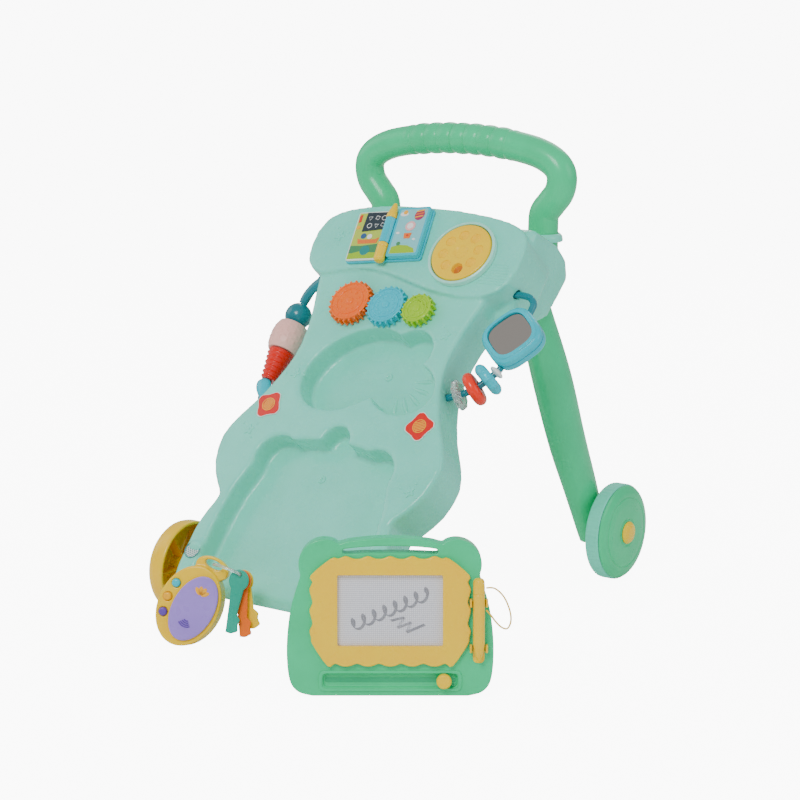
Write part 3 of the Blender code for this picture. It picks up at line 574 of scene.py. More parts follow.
def place(name: str, mesh: bpy.types.Mesh, matrix: Matrix, finish: Plastic | Metal | MeshScreen,
          body: str, slot: str, stands_for: Sequence[str] = (),
          sharp: float = 35.0) -> bpy.types.Object:
    """Put a piece in the scene, dress it and fix it to its body.

    Args:
        name: piece name.
        mesh: its shape, in the piece's own frame.
        matrix: its place.
        finish: what it is made of.
        body: the body it moves with.
        slot: the record's material slot it belongs to; not used.
        stands_for: CAD nodes that it replaces.
        sharp: angle above which an edge stays crisp, in degrees.

    Returns:
        The object.
    """
    mesh.name = name
    made = bpy.data.objects.new(name, mesh)
    bpy.context.scene.collection.objects.link(made)
    made.matrix_world = matrix
    mesh.materials.clear()
    mesh.materials.append(finish.material())
    mesh.shade_smooth()
    mesh.set_sharp_from_angle(angle=math.radians(sharp))
    if len(mesh.polygons) < 20000:
        weigh = made.modifiers.new("weigh", "WEIGHTED_NORMAL")
        weigh.keep_sharp = True
    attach(made, body)
    if stands_for:
        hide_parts(*stands_for)
    LOG.info("%s rides on %s", name, body)
    return made


def dress(node: str, finish: Plastic | Metal | MeshScreen) -> None:
    """Give a CAD node that keeps its own shape its finish.

    Args:
        node: the CAD node.
        finish: what it is made of.
    """
    mesh = frame["nodes"][node].data
    mesh.materials.clear()
    mesh.materials.append(finish.material())
    mesh.shade_smooth()
    mesh.set_sharp_from_angle(angle=math.radians(35.0))
    LOG.info("%s keeps its shape", node)


def joint(name: str) -> tuple[Vector, Vector]:
    """A joint's point and axis in the row frame."""
    found = next(j for j in frame["joints"] if j["name"] == name)
    return Vector(found.get("pos_m", (0.0, 0.0, 0.0))), Vector(found["axis"]).normalized()


def basis(origin: Vector, x_axis: Vector, y_axis: Vector) -> Matrix:
    """A frame at a point with two given axes."""
    z_axis = x_axis.cross(y_axis)
    return Matrix.Translation(origin) @ Matrix((x_axis, y_axis, z_axis)).transposed().to_4x4()


GEAR_S = 0.3595
CYAN_CENTRE, PANEL_NORMAL = joint("cyan_gear_spin")
RIGHT = Vector((1.0, 0.0, 0.0))
UP_SLOPE = PANEL_NORMAL.cross(RIGHT)
SLOPE = basis(CYAN_CENTRE - UP_SLOPE * GEAR_S, RIGHT, UP_SLOPE)
MIDDLE_X = CYAN_CENTRE.x
IDENTITY = Matrix.Identity(4)


def on_slope(x: float, s: float, n: float = 0.0, turn: float = 0.0) -> Matrix:
    """A frame on the panel: x across, s up the slope, n out of it, turned in its plane."""
    return SLOPE @ Matrix.Translation((x, s, n)) @ Matrix.Rotation(turn, 4, "Z")


# ---- the casing ---------------------------------------------------------------------------
@dataclass
class Casing:
    """The two mint shells with their wells, relief, bosses and stickers."""

    head_rise: float = 0.005
    upper_floor: float = -0.026
    lower_floor: float = -0.025
    relief: float = 0.0007
    flower_x: float = 0.093
    flower_s: float = 0.2352

    def build(self) -> None:
        """Make the shells and everything moulded or stuck on them."""
        nodes = frame["nodes"]
        both = joined([nodes["front_shell"].data, nodes["back_shell"].data])
        place("casing_skin", softened(both, 0.0017, 12), IDENTITY, MINT, "walker", "mint",
              ["front_shell", "back_shell"], 180.0)
        dress("battery_cover", MINT)
        dress("circuit_board", MASK)
        dress("speaker", SOOT)
        self.blossoms()
        self.grille()
        self.bosses()
        self.fan()
        for word, side in (("left", -1), ("right", 1)):
            self.sticker(word, side)
        self.net_sticker()

    def blossoms(self) -> None:
        """Groups of a star blossom and dots moulded in low relief."""
        spots = [(-0.098, 0.438, self.head_rise), (-0.104, 0.205, 0.0), (0.112, 0.166, 0.0),
                 (-0.079, 0.275, 0.0), (0.077, 0.338, 0.0), (0.004, 0.466, self.head_rise)]
        for i, (x, s, n) in enumerate(spots):
            place_here = on_slope(x, s, n - 0.0002, 0.4 * i)
            petals = []
            for k in range(60):
                angle = 2 * math.pi * k / 60
                reach = 0.0062 * (0.78 + 0.22 * math.cos(5 * angle))
                petals.append((reach * math.cos(angle), reach * math.sin(angle)))
            star = slab("blossom", petals, 0.0, self.relief + 0.0002, 0.0004)
            eye = lathe("eye", [(0.0, 0.0016), (0.0012, 0.0014), (0.0019, 0.0006), (0.0019, 0.0),
                                (0.0, 0.0)], 24)
            place("blossom_%d" % i, star, place_here, MINT, "walker", "mint")
            place("blossom_eye_%d" % i, eye, place_here, MINT, "walker", "mint")
            for k, (dx, dy) in enumerate(((0.0095, 0.004), (-0.006, 0.0095), (0.003, -0.0105))):
                dot = lathe("dot", [(0.0, 0.0009), (0.0010, 0.0007), (0.0015, 0.0), (0.0, 0.0)],
                            20)
                place("dot_%d_%d" % (i, k), dot, place_here @ Matrix.Translation((dx, dy, 0.0)),
                      MINT, "walker", "mint")

    def grille(self) -> None:
        """Fine ribs over the loudspeaker, right of the dial."""
        for i in range(8):
            s = 0.3985 + 0.0032 * i
            left = 0.0900 + 0.0016 * i
            right = 0.1215 - 0.0002 * (i - 3) ** 2
            rib = sweep("rib", [(left, s, self.head_rise), (right, s, self.head_rise)], 0.0006, 12)
            place("grille_rib_%d" % i, rib, SLOPE, MINT, "walker", "mint")

    def bosses(self) -> None:
        """Screw bosses on the wells' floors."""
        for i, (x, s, n) in enumerate(((0.0135, 0.2967, self.upper_floor),
                                       (-0.011, 0.1743, self.lower_floor))):
            ring = lathe("boss", rounded([(0.0014, 0.0), (0.0014, 0.0007), (0.0026, 0.0012),
                                          (0.0040, 0.0010), (0.0046, 0.0)], 0.0004, True), 40)
            place("screw_boss_%d" % i, ring, on_slope(x, s, n - 0.0001), MINT, "walker", "mint")
            screw = lathe("screw", [(0.0, 0.0004), (0.0013, 0.0003), (0.0013, 0.0), (0.0, 0.0)],
                          20)
            place("boss_screw_%d" % i, screw, on_slope(x, s, n), TREAD, "walker", "mint")

    def fan(self) -> None:
        """Radial flutes in the dish's fan."""
        for i in range(5):
            angle = math.radians(-78.0 + 22.0 * i)
            reach = 0.040 - 0.0015 * abs(i - 2)
            start = Vector((0.030, 0.292, self.upper_floor - 0.0012))
            along = Vector((math.cos(angle), math.sin(angle), 0.0))
            path = [start + along * (reach * t) for t in (0.35, 0.5, 0.65, 0.8, 0.92, 1.0)]
            radii = [0.0008, 0.0018, 0.0024, 0.0028, 0.0026, 0.0012]
            flute = sweep("flute", path, radii, 20)
            place("fan_flute_%d" % i, flute, SLOPE, MINT, "walker", "mint", (), 60.0)

    def sticker(self, word: str, side: int) -> None:
        """A red blossom sticker with a lined gold disc.

        Args:
            word: left or right.
            side: -1 for the left one and 1 for the right one.
        """
        here = on_slope(side * self.flower_x, self.flower_s, 0.0003,
                        math.radians(20.0 if side < 0 else -30.0))
        petals = []
        for k in range(96):
            angle = 2 * math.pi * k / 96
            square = (abs(math.cos(angle)) ** 5 + abs(math.sin(angle)) ** 5) ** -0.2
            reach = 0.0132 * square * (0.945 + 0.055 * math.cos(4 * angle + math.pi))
            reach *= 0.92 + 0.08 * abs(math.cos(2 * angle)) ** 0.5
            petals.append((reach * math.cos(angle), reach * math.sin(angle)))
        rim = [(x * 1.06, y * 1.06) for x, y in petals]
        place(word + "_sticker_rim", slab("rim", rim, 0.0, 0.0005), here, WHITE, "walker", "red")
        place(word + "_sticker", slab("face", petals, 0.0004, 0.0010, 0.0002, 2), here,
              STICKER_RED, "walker", "red", [word + "_flower_plate"])
        disc = lathe("disc", [(0.0066, 0.0010), (0.0074, 0.0010), (0.0074, 0.0013),
                              (0.0066, 0.0013)], 48)
        place(word + "_sticker_ring", disc, here, Ink.GOLD.finish(), "walker", "red")
        for k in range(6):
            y = -0.0045 + 0.0018 * k
            half = math.sqrt(max(0.0062 ** 2 - y * y, 1e-7))
            bar = slab("bar", [(-half, y - 0.0005), (half, y - 0.0005), (half, y + 0.0005),
                               (-half, y + 0.0005)], 0.0010, 0.0012)
            place("%s_sticker_bar_%d" % (word, k), bar, here @ Matrix.Rotation(0.9, 4, "Z"),
                  Ink.GOLD.finish(), "walker", "red")

    def net_sticker(self) -> None:
        """A round sticker with a net of crossed lines, on the left rail."""
        here = on_slope(-0.1042, 0.0660, 0.0001)
        disc = slab("net", ring_points(0.0092), 0.0, 0.0004)
        place("net_sticker", disc, here, Ink.PAPER.finish(), "walker", "mint")
        rim = lathe("rim", [(0.0080, 0.0003), (0.0092, 0.0003), (0.0092, 0.0007),
                            (0.0080, 0.0007)], 48)
        place("net_rim", rim, here, Ink.TEAL.finish(), "walker", "mint")
        for turn in (0.6, 2.17):
            for k in range(-3, 4):
                y = 0.0022 * k
                half = math.sqrt(max(0.0082 ** 2 - y * y, 1e-7))
                line = slab("line", [(-half, y - 0.0002), (half, y - 0.0002), (half, y + 0.0002),
                                     (-half, y + 0.0002)], 0.0003, 0.0006)
                place("net_line_%d_%d" % (round(turn), k + 3), line,
                      here @ Matrix.Rotation(turn, 4, "Z"), Ink.TEAL.finish(), "walker", "mint")


# ---- gears and dial -----------------------------------------------------------------------
@dataclass
class Gears:
    """Three play gears in mesh, each with its own face pattern."""

    module: float = 0.00195
    lift: float = 0.001
    thick: float = 0.009

    def outline(self, teeth: int) -> list[Point2]:
        """Rounded play teeth, four corners a tooth, filleted."""
        pitch = self.module * teeth / 2.0
        points = []
        for i in range(teeth):
            for part, rise in ((-0.25, -1.15), (-0.14, 0.85), (0.14, 0.85), (0.25, -1.15)):
                angle = 2 * math.pi * (i + part) / teeth
                radius = pitch + self.module * rise * 0.9
                points.append((radius * math.cos(angle), radius * math.sin(angle)))
        return rounded(points, 0.0007, True, 3)

    def build(self) -> None:
        """Make the three gears."""
        self.gear("orange", 24, math.pi / 24, ORANGE, 9)
        self.gear("cyan", 22, 0.0, CYAN, 12)
        self.gear("green", 17, math.pi + math.pi / 17, LIME, 7)

    def gear(self, word: str, teeth: int, turn: float, finish: Plastic, dots: int) -> None:
        """Make one gear.

        Args:
            word: the gear's colour word.
            teeth: number of teeth.
            turn: its turn at rest.
            finish: its plastic.
            dots: raised dots round its face.
        """
        centre, _ = joint(word + "_gear_spin")
        here = basis(centre, RIGHT, UP_SLOPE) @ Matrix.Rotation(turn, 4, "Z")
        top = self.lift + self.thick
        pitch = self.module * teeth / 2.0
        body = word + "_gear_body"
        slot = "lime" if word == "green" else word
        plate = slab("gear", self.outline(teeth), self.lift, top, 0.0009, 3)
        place(word + "_play_gear", plate, here, finish, body, slot, [word + "_gear"])
        for tag, reach, width in (("outer", 0.90, 0.0011), ("inner", 0.64, 0.0009)):
            radius = pitch * reach
            loop = [(*p, top) for p in ring_points(radius, 72)]
            hoop = sweep("hoop", loop + loop[:2], width, 12)
            place("%s_gear_%s_ring" % (word, tag), hoop, here, finish, body, slot)
        cap = lathe("cap", rounded([(0.0, 0.0016), (0.0036, 0.0014), (0.0046, 0.0), (0.0, 0.0)],
                                   0.0008), 40)
        place(word + "_gear_cap", cap, here @ Matrix.Translation((0, 0, top - 0.0002)), finish,
              body, slot)
        for k in range(dots):
            angle = 2 * math.pi * k / dots
            for ring, size in ((0.45, 0.0019), (0.77, 0.0013)):
                angle += math.pi / dots
                base = top - 0.0002
                dot = lathe("dot", [(0.0, 0.0010), (size * 0.6, 0.0008), (size, 0.0), (0.0, 0.0)],
                            20)
                spot = Matrix.Translation((pitch * ring * math.cos(angle),
                                           pitch * ring * math.sin(angle), base))
                place("%s_gear_dot_%d_%d" % (word, k, round(ring * 10)), dot, here @ spot, finish,
                      body, slot)


@dataclass
class Dial:
    """The yellow dial with seven finger dimples and one deep hole."""

    radius: float = 0.0335
    thick: float = 0.0065
    rise: float = 0.0053
    ring: float = 0.0199
    hole: Point2 = (0.004, -0.0195)

    def build(self) -> None:
        """Make the dial, the darker orange painted shade inside its hole and the rim round it."""
        centre, _ = joint("dial_spin")
        here = basis(centre, RIGHT, UP_SLOPE)
        base = self.rise
        top = base + self.thick
        profile = rounded([(0.0, top), (self.radius - 0.001, top), (self.radius, top - 0.003),
                           (self.radius, base + 0.0007), (0.003, base + 0.0007),
                           (0.003, -0.010), (0.0, -0.010)], 0.0012)
        disc = lathe("dial", profile)
        start = math.atan2(self.hole[1], self.hole[0])
        cutters = []
        for k in range(1, 8):
            angle = start + k * math.pi / 4
            dome = lathe("dome", [(0.0, -0.0032), (0.0030, -0.0028), (0.0052, -0.0012),
                                  (0.0062, 0.0012), (0.0, 0.0012)], 40)
            cutters.append((dome, Matrix.Translation((self.ring * math.cos(angle),
                                                      self.ring * math.sin(angle), top))))
        middle = lathe("middle", [(0.0, -0.0018), (0.0060, -0.0014), (0.0090, 0.0006),
                                  (0.0, 0.0006)], 48)
        cutters.append((middle, Matrix.Translation((0.0, 0.0, top))))
        well = lathe("well", rounded([(0.0, -0.0045), (0.0055, -0.0045), (0.0066, 0.002),
                                      (0.0, 0.002)], 0.0012), 48)
        cutters.append((well, Matrix.Translation((*self.hole, top))))
        place("play_dial", carved(disc, cutters), here, YELLOW, "dial", "yellow", ["yellow_dial"],
              28.0)
        # A darker orange cup and cone down in the hole: painted shade deep inside the hole.
        pit = lathe("pit", [(0.0, -0.0043), (0.0030, -0.0043), (0.0056, -0.0040),
                            (0.0062, -0.0012), (0.0064, -0.0012), (0.0058, -0.0045),
                            (0.0, -0.0045)], 48)
        place("dial_pit", pit, here @ Matrix.Translation((*self.hole, top)), PIT_SHADE_ORANGE, "dial",
              "yellow")
        knob = lathe("knob", [(0.0, 0.0018), (0.0012, 0.0015), (0.0020, 0.0), (0.0, 0.0)], 24)
        place("dial_pit_knob", knob,
              here @ Matrix.Translation((self.hole[0] + 0.001, self.hole[1] - 0.001,
                                         top - 0.0044)), PIT_SHADE_ORANGE, "dial", "yellow")
        bezel = lathe("bezel", rounded([(0.0340, top - 0.001), (0.0352, top), (0.0372, top - 0.001),
                                        (0.0375, base), (0.0340, base)], 0.0006, True))
        place("dial_rim", bezel, here, PALE_MINT, "walker", "pale_mint", ["dial_bezel"])


# ---- the play book ------------------------------------------------------------------------
@dataclass
class PlayBook:
    """An open book with printed pages and a pencil for a spine."""

    x: float = -0.033
    s: float = 0.441
    rise: float = 0.005
    turn: float = math.radians(8.0)
    page_w: float = 0.043
    half_h: float = 0.030
    spine: float = 0.0058

    def build(self) -> None:
        """Make the tray, both pages, their prints and the pencil."""
        here = on_slope(self.x, self.s, self.rise, self.turn)
        wide = self.page_w + 0.002
        tall = self.half_h + 0.001
        tray = slab("tray", rounded([(-wide, -tall), (wide, -tall), (wide, tall), (-wide, tall)],
                                    0.004, True), 0.0003, 0.0035, 0.0010)
        place("book_base", tray, here, CYAN, "walker", "cyan", ["book_tray"])
        self.left_page(here)
        self.right_page(here)
        self.pencil(here)

    def page(self, left: float, right: float, low: float, high: float) -> bpy.types.Mesh:
        """A page board with rounded outer corners."""
        return slab("page", rounded([(left, -self.half_h), (right, -self.half_h),
                                     (right, self.half_h), (left, self.half_h)], 0.003, True),
                    low, high, 0.0007)

    def print_on(self, tag: str, shapes: Sequence[tuple[Ink, list[Point2]]], here: Matrix,
                 top: float, body: str) -> None:
        """Lay inked shapes on a page, each a hair above the one before.

        Args:
            tag: start of the pieces' names.
            shapes: the ink and outline of each shape, lowest first.
            here: the page's frame.
            top: height of the page.
            body: body that the page belongs to.
        """
        for i, (ink, outline) in enumerate(shapes):
            layer = slab("ink", outline, top - 0.00005, top + 0.00010 + 0.00005 * i)
            place("%s_%02d" % (tag, i), layer, here, ink.finish(), body, "print_page")

    def left_page(self, here: Matrix) -> None:
        """A meadow with a basket under a slate with chalk shapes."""
        left = -self.page_w - 0.001
        right = -self.spine - 0.0006
        place("left_page_board", self.page(left, right, 0.0038, 0.0062), here,
              Ink.PAPER.finish(), "walker", "print_page", ["left_page"])
        inner = [(left + 0.0015, -0.0285), (right, -0.0285), (right, 0.0285),
                 (left + 0.0015, 0.0285)]
        shapes = [(Ink.MEADOW, inner),
                  (Ink.GRASS, [(left + 0.0015, -0.0215), (right, -0.0215), (right, -0.0105),
                               (-0.030, -0.0125), (left + 0.0015, -0.0120)]),
                  (Ink.LEAF, [(left + 0.0015, -0.0285), (right, -0.0285), (right, -0.0225),
                              (-0.030, -0.0195), (left + 0.0015, -0.0225)]),
                  (Ink.TEAL, ring_points(0.0058, 24, (-0.0235, -0.0185))),
                  (Ink.ORANGE, [(-0.0345, -0.0100), (-0.0120, -0.0100), (-0.0105, -0.0030),
                                (-0.0150, -0.0050), (-0.0310, -0.0050), (-0.0365, -0.0035)]),
                  (Ink.NAVY, ring_points(0.0034, 20, (-0.0300, -0.0005))),
                  (Ink.CHALK, ring_points(0.0030, 20, (-0.0225, -0.0015))),
                  (Ink.RED, [(-0.0415, 0.0165), (-0.0385, 0.0175), (-0.0385, 0.0265),
                             (-0.0415, 0.0255)]),
                  (Ink.GOLD, ring_points(0.0022, 20, (-0.0395, 0.0105))),
                  (Ink.SLATE, [(-0.0340, 0.0050), (-0.0070, 0.0070), (-0.0070, 0.0280),
                               (-0.0330, 0.0285)])]
        self.print_on("left_print", shapes, here, 0.0062, "walker")
        for k, (x, y, corners) in enumerate(((-0.0275, 0.0215, 3), (-0.0190, 0.0215, 4),
                                             (-0.0110, 0.0210, 24), (-0.0265, 0.0120, 24),
                                             (-0.0180, 0.0120, 3), (-0.0105, 0.0125, 4))):
            outline = ring_points(0.0027, corners, (x, y), 1.0, 0.5)
            loop = [(*p, 0.0) for p in outline + outline[:2]]
            chalk = sweep("chalk", loop, 0.00035, 8)
            place("chalk_%d" % k, chalk, here @ Matrix.Translation((0, 0, 0.0068)),
                  Ink.CHALK.finish(), "walker", "print_page")

    def right_page(self, here: Matrix) -> None:
        """A raised cyan page with a sky, a balloon, a flower in a pot and a hill."""
        left = self.spine + 0.0006
        right = self.page_w + 0.001
        top = 0.0103
        place("turning_page_board", self.page(left, right, 0.0038, top), here, CYAN, "page",
              "print_page", ["turning_page"])
        balloon = ring_points(0.0056, 32, (0.0335, 0.0195), 1.15, -0.3)
        stripes = []
        for k in range(3):
            y = 0.0160 + 0.0034 * k
            stripes.append((Ink.ORANGE if k % 2 else Ink.GOLD,
                            [(0.0290, y), (0.0378, y + 0.0016), (0.0382, y + 0.0032),
                             (0.0288, y + 0.0014)]))
        shapes = [(Ink.SKY, rounded([(0.0095, -0.0272), (0.0418, -0.0272), (0.0418, 0.0272),
                                     (0.0095, 0.0272)], 0.002, True)),
                  (Ink.LEAF, [(0.0100, -0.0268), (0.0400, -0.0268), (0.0375, -0.0215),
                              (0.0290, -0.0175), (0.0190, -0.0165), (0.0110, -0.0185)]),
                  (Ink.GRASS, ring_points(0.0024, 16, (0.0180, -0.0150))),
                  (Ink.CHALK, ring_points(0.0048, 20, (0.0150, 0.0215), 0.55)),
                  (Ink.GOLD, ring_points(0.0026, 16, (0.0160, 0.0235))),
                  (Ink.PLUM, balloon), *stripes,
                  (Ink.ORANGE, [(0.0225, -0.0090), (0.0295, -0.0090), (0.0305, -0.0025),
                                (0.0215, -0.0025)]),
                  (Ink.BLUSH, ring_points(0.0058, 40, (0.0265, 0.0060))),
                  (Ink.CHALK, ring_points(0.0036, 30, (0.0262, 0.0062))),
                  (Ink.RED, ring_points(0.0013, 16, (0.0262, -0.0055))),
                  (Ink.CHALK, ring_points(0.0020, 16, (0.0140, -0.0020), 0.7)),
                  (Ink.CHALK, ring_points(0.0018, 16, (0.0350, -0.0105), 0.7))]
        self.print_on("right_print", shapes, here, top, "page")

    def pencil(self, here: Matrix) -> None:
        """The pencil-shaped spine: a sharpened tip, a ribbed barrel and an eraser end."""
        height = 0.0038 + self.spine + 0.0002
        along = here @ Matrix.Translation((0.0, 0.0, height)) @ Matrix.Rotation(
            math.radians(-90.0), 4, "X")
        r = self.spine

        def ribs(angle: float, _height: float, _radius: float) -> float:
            """Six shallow flats round the barrel."""
            return -0.00035 * (0.5 - 0.5 * math.cos(6 * angle))

        barrel = lathe("barrel", rounded([(0.0, 0.0165), (r, 0.0165), (r, -0.0135),
                                          (0.0, -0.0135)], 0.0006), 72, ribs)
        tip = lathe("tip", rounded([(0.0, 0.036), (0.0018, 0.0355), (0.0045, 0.026),
                                    (r, 0.0208), (r, 0.0168), (0.0, 0.0168)], 0.0012), 72)
        end = lathe("end", rounded([(0.0, -0.0138), (r, -0.0138), (r, -0.0180), (0.0050, -0.0186),
                                    (r, -0.0192), (r, -0.0330), (0.0040, -0.0355),
                                    (0.0, -0.0358)], 0.0012), 72)
        place("pencil_barrel", barrel, along, CYAN, "walker", "cyan", ["pencil_body"])
        place("pencil_point", tip, along, YELLOW, "walker", "yellow", ["pencil_tip"])
        place("pencil_end", end, along, YELLOW, "walker", "yellow", ["pencil_eraser"])


# ---- play columns -------------------------------------------------------------------------
@dataclass
class Columns:
    """The rods at both sides with what turns on them, and the mirror."""

    x: float = 0.125
    n: float = -0.020
    rod: float = 0.0035
    mirror_x: float = 0.1431
    mirror_s: float = 0.3520
    mirror_lean: float = math.atan(0.11)

    def build(self) -> None:
        """Make both columns."""
        self.rods()
        self.left()
        self.right()
        self.mirror()

    def rod_path(self, side: int) -> list[Point3]:
        """A rod's centre line in the panel's frame, from its foot to its head.

        Args:
            side: -1 for the left rod and 1 for the right one.

        Returns:
            The points.
        """
        left = [(0.1050, 0.2415), (0.1130, 0.2430), (0.1205, 0.2470), (self.x, 0.2550),
                (self.x, 0.2900), (self.x, 0.3300), (self.x, 0.3620), (0.1235, 0.3740),
                (0.1215, 0.3860), (0.1165, 0.4020)]
        right = [(0.0915, 0.2790), (0.1030, 0.2830), (0.1110, 0.2872), (0.1180, 0.2912),
                 (0.1240, 0.2968), (0.1295, 0.3035), (0.1345, 0.3100), (0.1393, 0.3178),
                 (0.1401, 0.3250), (self.mirror_x, self.mirror_s), (0.1461, 0.3790),
                 (0.1471, 0.3880), (0.1466, 0.3950), (0.1400, 0.4015), (0.1290, 0.4035),
                 (0.1150, 0.4035)]
        return [(side * x, s, self.n) for x, s in smooth_path(left if side < 0 else right, 6)]

    def rods(self) -> None:
        """The two bent rods."""
        for word, side in (("left", -1), ("right", 1)):
            path = self.rod_path(side)
            place(word + "_play_rod", sweep("rod", path, self.rod, 28), SLOPE, TEAL, "walker",
                  "teal", [word + "_rod"], 50.0)

    def frame_at(self, side: int, name: str) -> Matrix:
        """The frame of a bead's own joint, z up its rod."""
        centre, axis = joint(name)
        across = PANEL_NORMAL.cross(axis).normalized() * side
        return basis(centre, across, axis.cross(across))

    def sleeve(self, name: str, profile: Sequence[Point2], here: Matrix, finish: Plastic,
               body: str, slot: str, node: str,
               relief: Optional[Callable[[float, float, float], float]] = None,
               steps: int = 72, inner: float = 0.0041) -> None:
        """A bead that keeps clear of its rod.

        Args:
            name: piece name.
            profile: outer (radius, height) points from the top down.
            here: the bead's frame.
            finish: its plastic.
            body: its body.
            slot: its material slot.
            node: the CAD node that it replaces.
            relief: extra radius for knurls, bumps or threads.
            steps: faces round the bead.
            inner: radius of its bore.
        """
        line = [(inner, profile[0][1])] + list(profile) + [(inner, profile[-1][1])]

        def outer(angle: float, height: float, radius: float) -> float:
            """Relief on the outer wall alone."""
            return relief(angle, height, radius) if relief and radius > inner + 0.003 else 0.0

        place(name, lathe("bead", line, steps, outer), here, finish, body, slot, [node], 40.0)

    def left(self) -> None:
        """Teal ball, knurled pink barrel, threaded red cone and a leaf at the foot."""
        dome = [(0.0140 * math.cos(math.radians(a)), 0.0140 * math.sin(math.radians(a)))
                for a in range(70, -57, -6)]
        self.sleeve("ball_shell", dome, self.frame_at(-1, "ball_spin"), TEAL, "ball", "teal",
                    "teal_ball")
        barrel = []
        for i in range(33):
            z = 0.0160 - 0.001 * i
            swell = 0.0184 - 0.0030 * abs(z / 0.016) ** 2.6
            barrel.append((swell, z))

        def knurl(angle: float, height: float, _radius: float) -> float:
            """Rows of rounded studs, set like bricks."""
            edge = max(0.0, 1.0 - (height / 0.0155) ** 6)
            row = height / 0.0040
            shift = math.pi / 14 * (round(row) % 2)
            bump = math.cos(14 * (angle + shift)) * math.cos(2 * math.pi * row)
            return 0.0006 * max(0.0, bump) * edge - 0.0001

        self.sleeve("barrel_shell", barrel, self.frame_at(-1, "barrel_spin"), PINK, "barrel",
                    "pink", "pink_barrel", knurl, 168)
        cone = []
        for i in range(100):
            z = 0.0163 - 0.033 * i / 99
            cone.append((0.0136 - 0.0054 * i / 99, z))

        def thread(angle: float, height: float, _radius: float) -> float:
            """A round thread of six turns."""
            turns = height / 0.0053 + angle / (2 * math.pi)
            return 0.0008 * math.cos(2 * math.pi * turns)

        self.sleeve("cone_shell", cone, self.frame_at(-1, "cone_spin"), RED, "cone", "red",
                    "red_cone", thread, 96)
        leaf = sweep("leaf", smooth_path([(-0.1285, 0.2700, -0.018), (-0.1255, 0.2630, -0.018),
                                          (-0.1185, 0.2540, -0.018), (-0.1085, 0.2465, -0.018)],
                                         6),
                     [0.003 + 0.0055 * math.sin(math.pi * (0.15 + 0.85 * i / 18) ** 0.8)
                      for i in range(19)], 28, 0.7, Vector((0, 0, 1)))
        place("left_leaf", leaf, SLOPE, CYAN, "walker", "teal", (), 60.0)
        strap = sweep("strap", smooth_path([(-0.1265, 0.3660, -0.019), (-0.1225, 0.3760, -0.016),
                                            (-0.1135, 0.3880, -0.014), (-0.1020, 0.3950, -0.014)],
                                           6),
                      [0.0045 + 0.0030 * i / 18 for i in range(19)], 28, 0.6, Vector((0, 0, 1)))
        place("left_strap", strap, SLOPE, TEAL, "walker", "teal", (), 60.0)

    def right(self) -> None:
        """Clear studded disc, orange ring, cyan knobbly ring and white bead."""
        def studs(count: int, depth: float) -> Callable[[float, float, float], float]:
            """A ring of bumps round the rim."""
            def bump(angle: float, height: float, _radius: float) -> float:
                """Bump height at one place."""
                return depth * max(0.0, math.cos(count * angle)) * math.cos(height / 0.0045)
            return bump

        torus = []
        for i in range(25):
            a = math.radians(100 - 200 * i / 24)
            torus.append((0.0118 + 0.0060 * math.cos(a), 0.0058 * math.sin(a)))
        disc = []
        for i in range(17):
            a = math.radians(100 - 200 * i / 16)
            disc.append((0.0108 + 0.0036 * math.cos(a), 0.0036 * math.sin(a)))
        bead = [(0.0055 * math.cos(math.radians(a)) + 0.0022, 0.0027 * math.sin(math.radians(a)))
                for a in range(80, -81, -10)]
        self.sleeve("clear_disc", disc, self.frame_at(1, "clear_gear_spin"), CLEAR,
                    "clear_gear_body", "clear", "clear_gear", studs(12, 0.0014), 144, 0.0046)
        self.sleeve("ring_shell", torus, self.frame_at(1, "orange_ring_spin"), RED_ORANGE,
                    "orange_ring_body", "red_orange", "orange_ring", None, 72, 0.0052)
        knobbly = [(r * 0.93, z) for r, z in torus]
        self.sleeve("knob_ring_shell", knobbly, self.frame_at(1, "knob_ring_spin"), CYAN,
                    "knob_ring", "cyan", "cyan_knob_ring", studs(11, 0.0016), 144, 0.0050)
        self.sleeve("bead_shell", bead, self.frame_at(1, "white_bead_spin"), WHITE, "bead",
                    "white", "white_bead", None, 72, 0.0046)

    def mirror(self) -> None:
        """The stepped rounded-square frame and its silvered sheet."""
        here = on_slope(self.mirror_x, self.mirror_s, self.n, math.radians(50.0))

        def squircle(half: float) -> list[Point2]:
            """A square outline with fully rounded sides and corners."""
            result = []
            for i in range(96):
                c = math.cos(2 * math.pi * i / 96)
                v = math.sin(2 * math.pi * i / 96)
                scale = (abs(c) ** 3.2 + abs(v) ** 3.2) ** (-1 / 3.2)
                result.append((half * scale * c, half * scale * v))
            return result

        body = slab("frame", squircle(0.0285), -0.0060, 0.0125, 0.0048, 5)
        rim = slab("rim", squircle(0.0252), 0.0060, 0.0140, 0.0014, 3)
        recess = slab("recess", squircle(0.0215), 0.0100, 0.03)
        groove = slab("groove", squircle(0.0290), 0.0034, 0.0046)
        keep = slab("keep", squircle(0.0278), 0.0030, 0.0050)
        groove = carved(groove, [(keep, IDENTITY)])
        bore = sweep("bore", [(0.0, -0.034, 0.0), (0.0, 0.034, 0.0)], self.rod + 0.0012, 20)
        inverse = here.inverted() @ on_slope(self.mirror_x, self.mirror_s, self.n,
                                             -self.mirror_lean)
        shell = carved(body, [(recess, IDENTITY), (groove, IDENTITY), (bore, inverse)],
                       [(rim, IDENTITY)])
        place("mirror_rim", shell, here, CYAN, "mirror", "cyan", ["mirror_frame"], 30.0)
        place("mirror_sheet", slab("glass", squircle(0.0211), 0.0103, 0.0118, 0.0004), here,
              SILVERED, "mirror", "mirror", ["mirror_glass"])


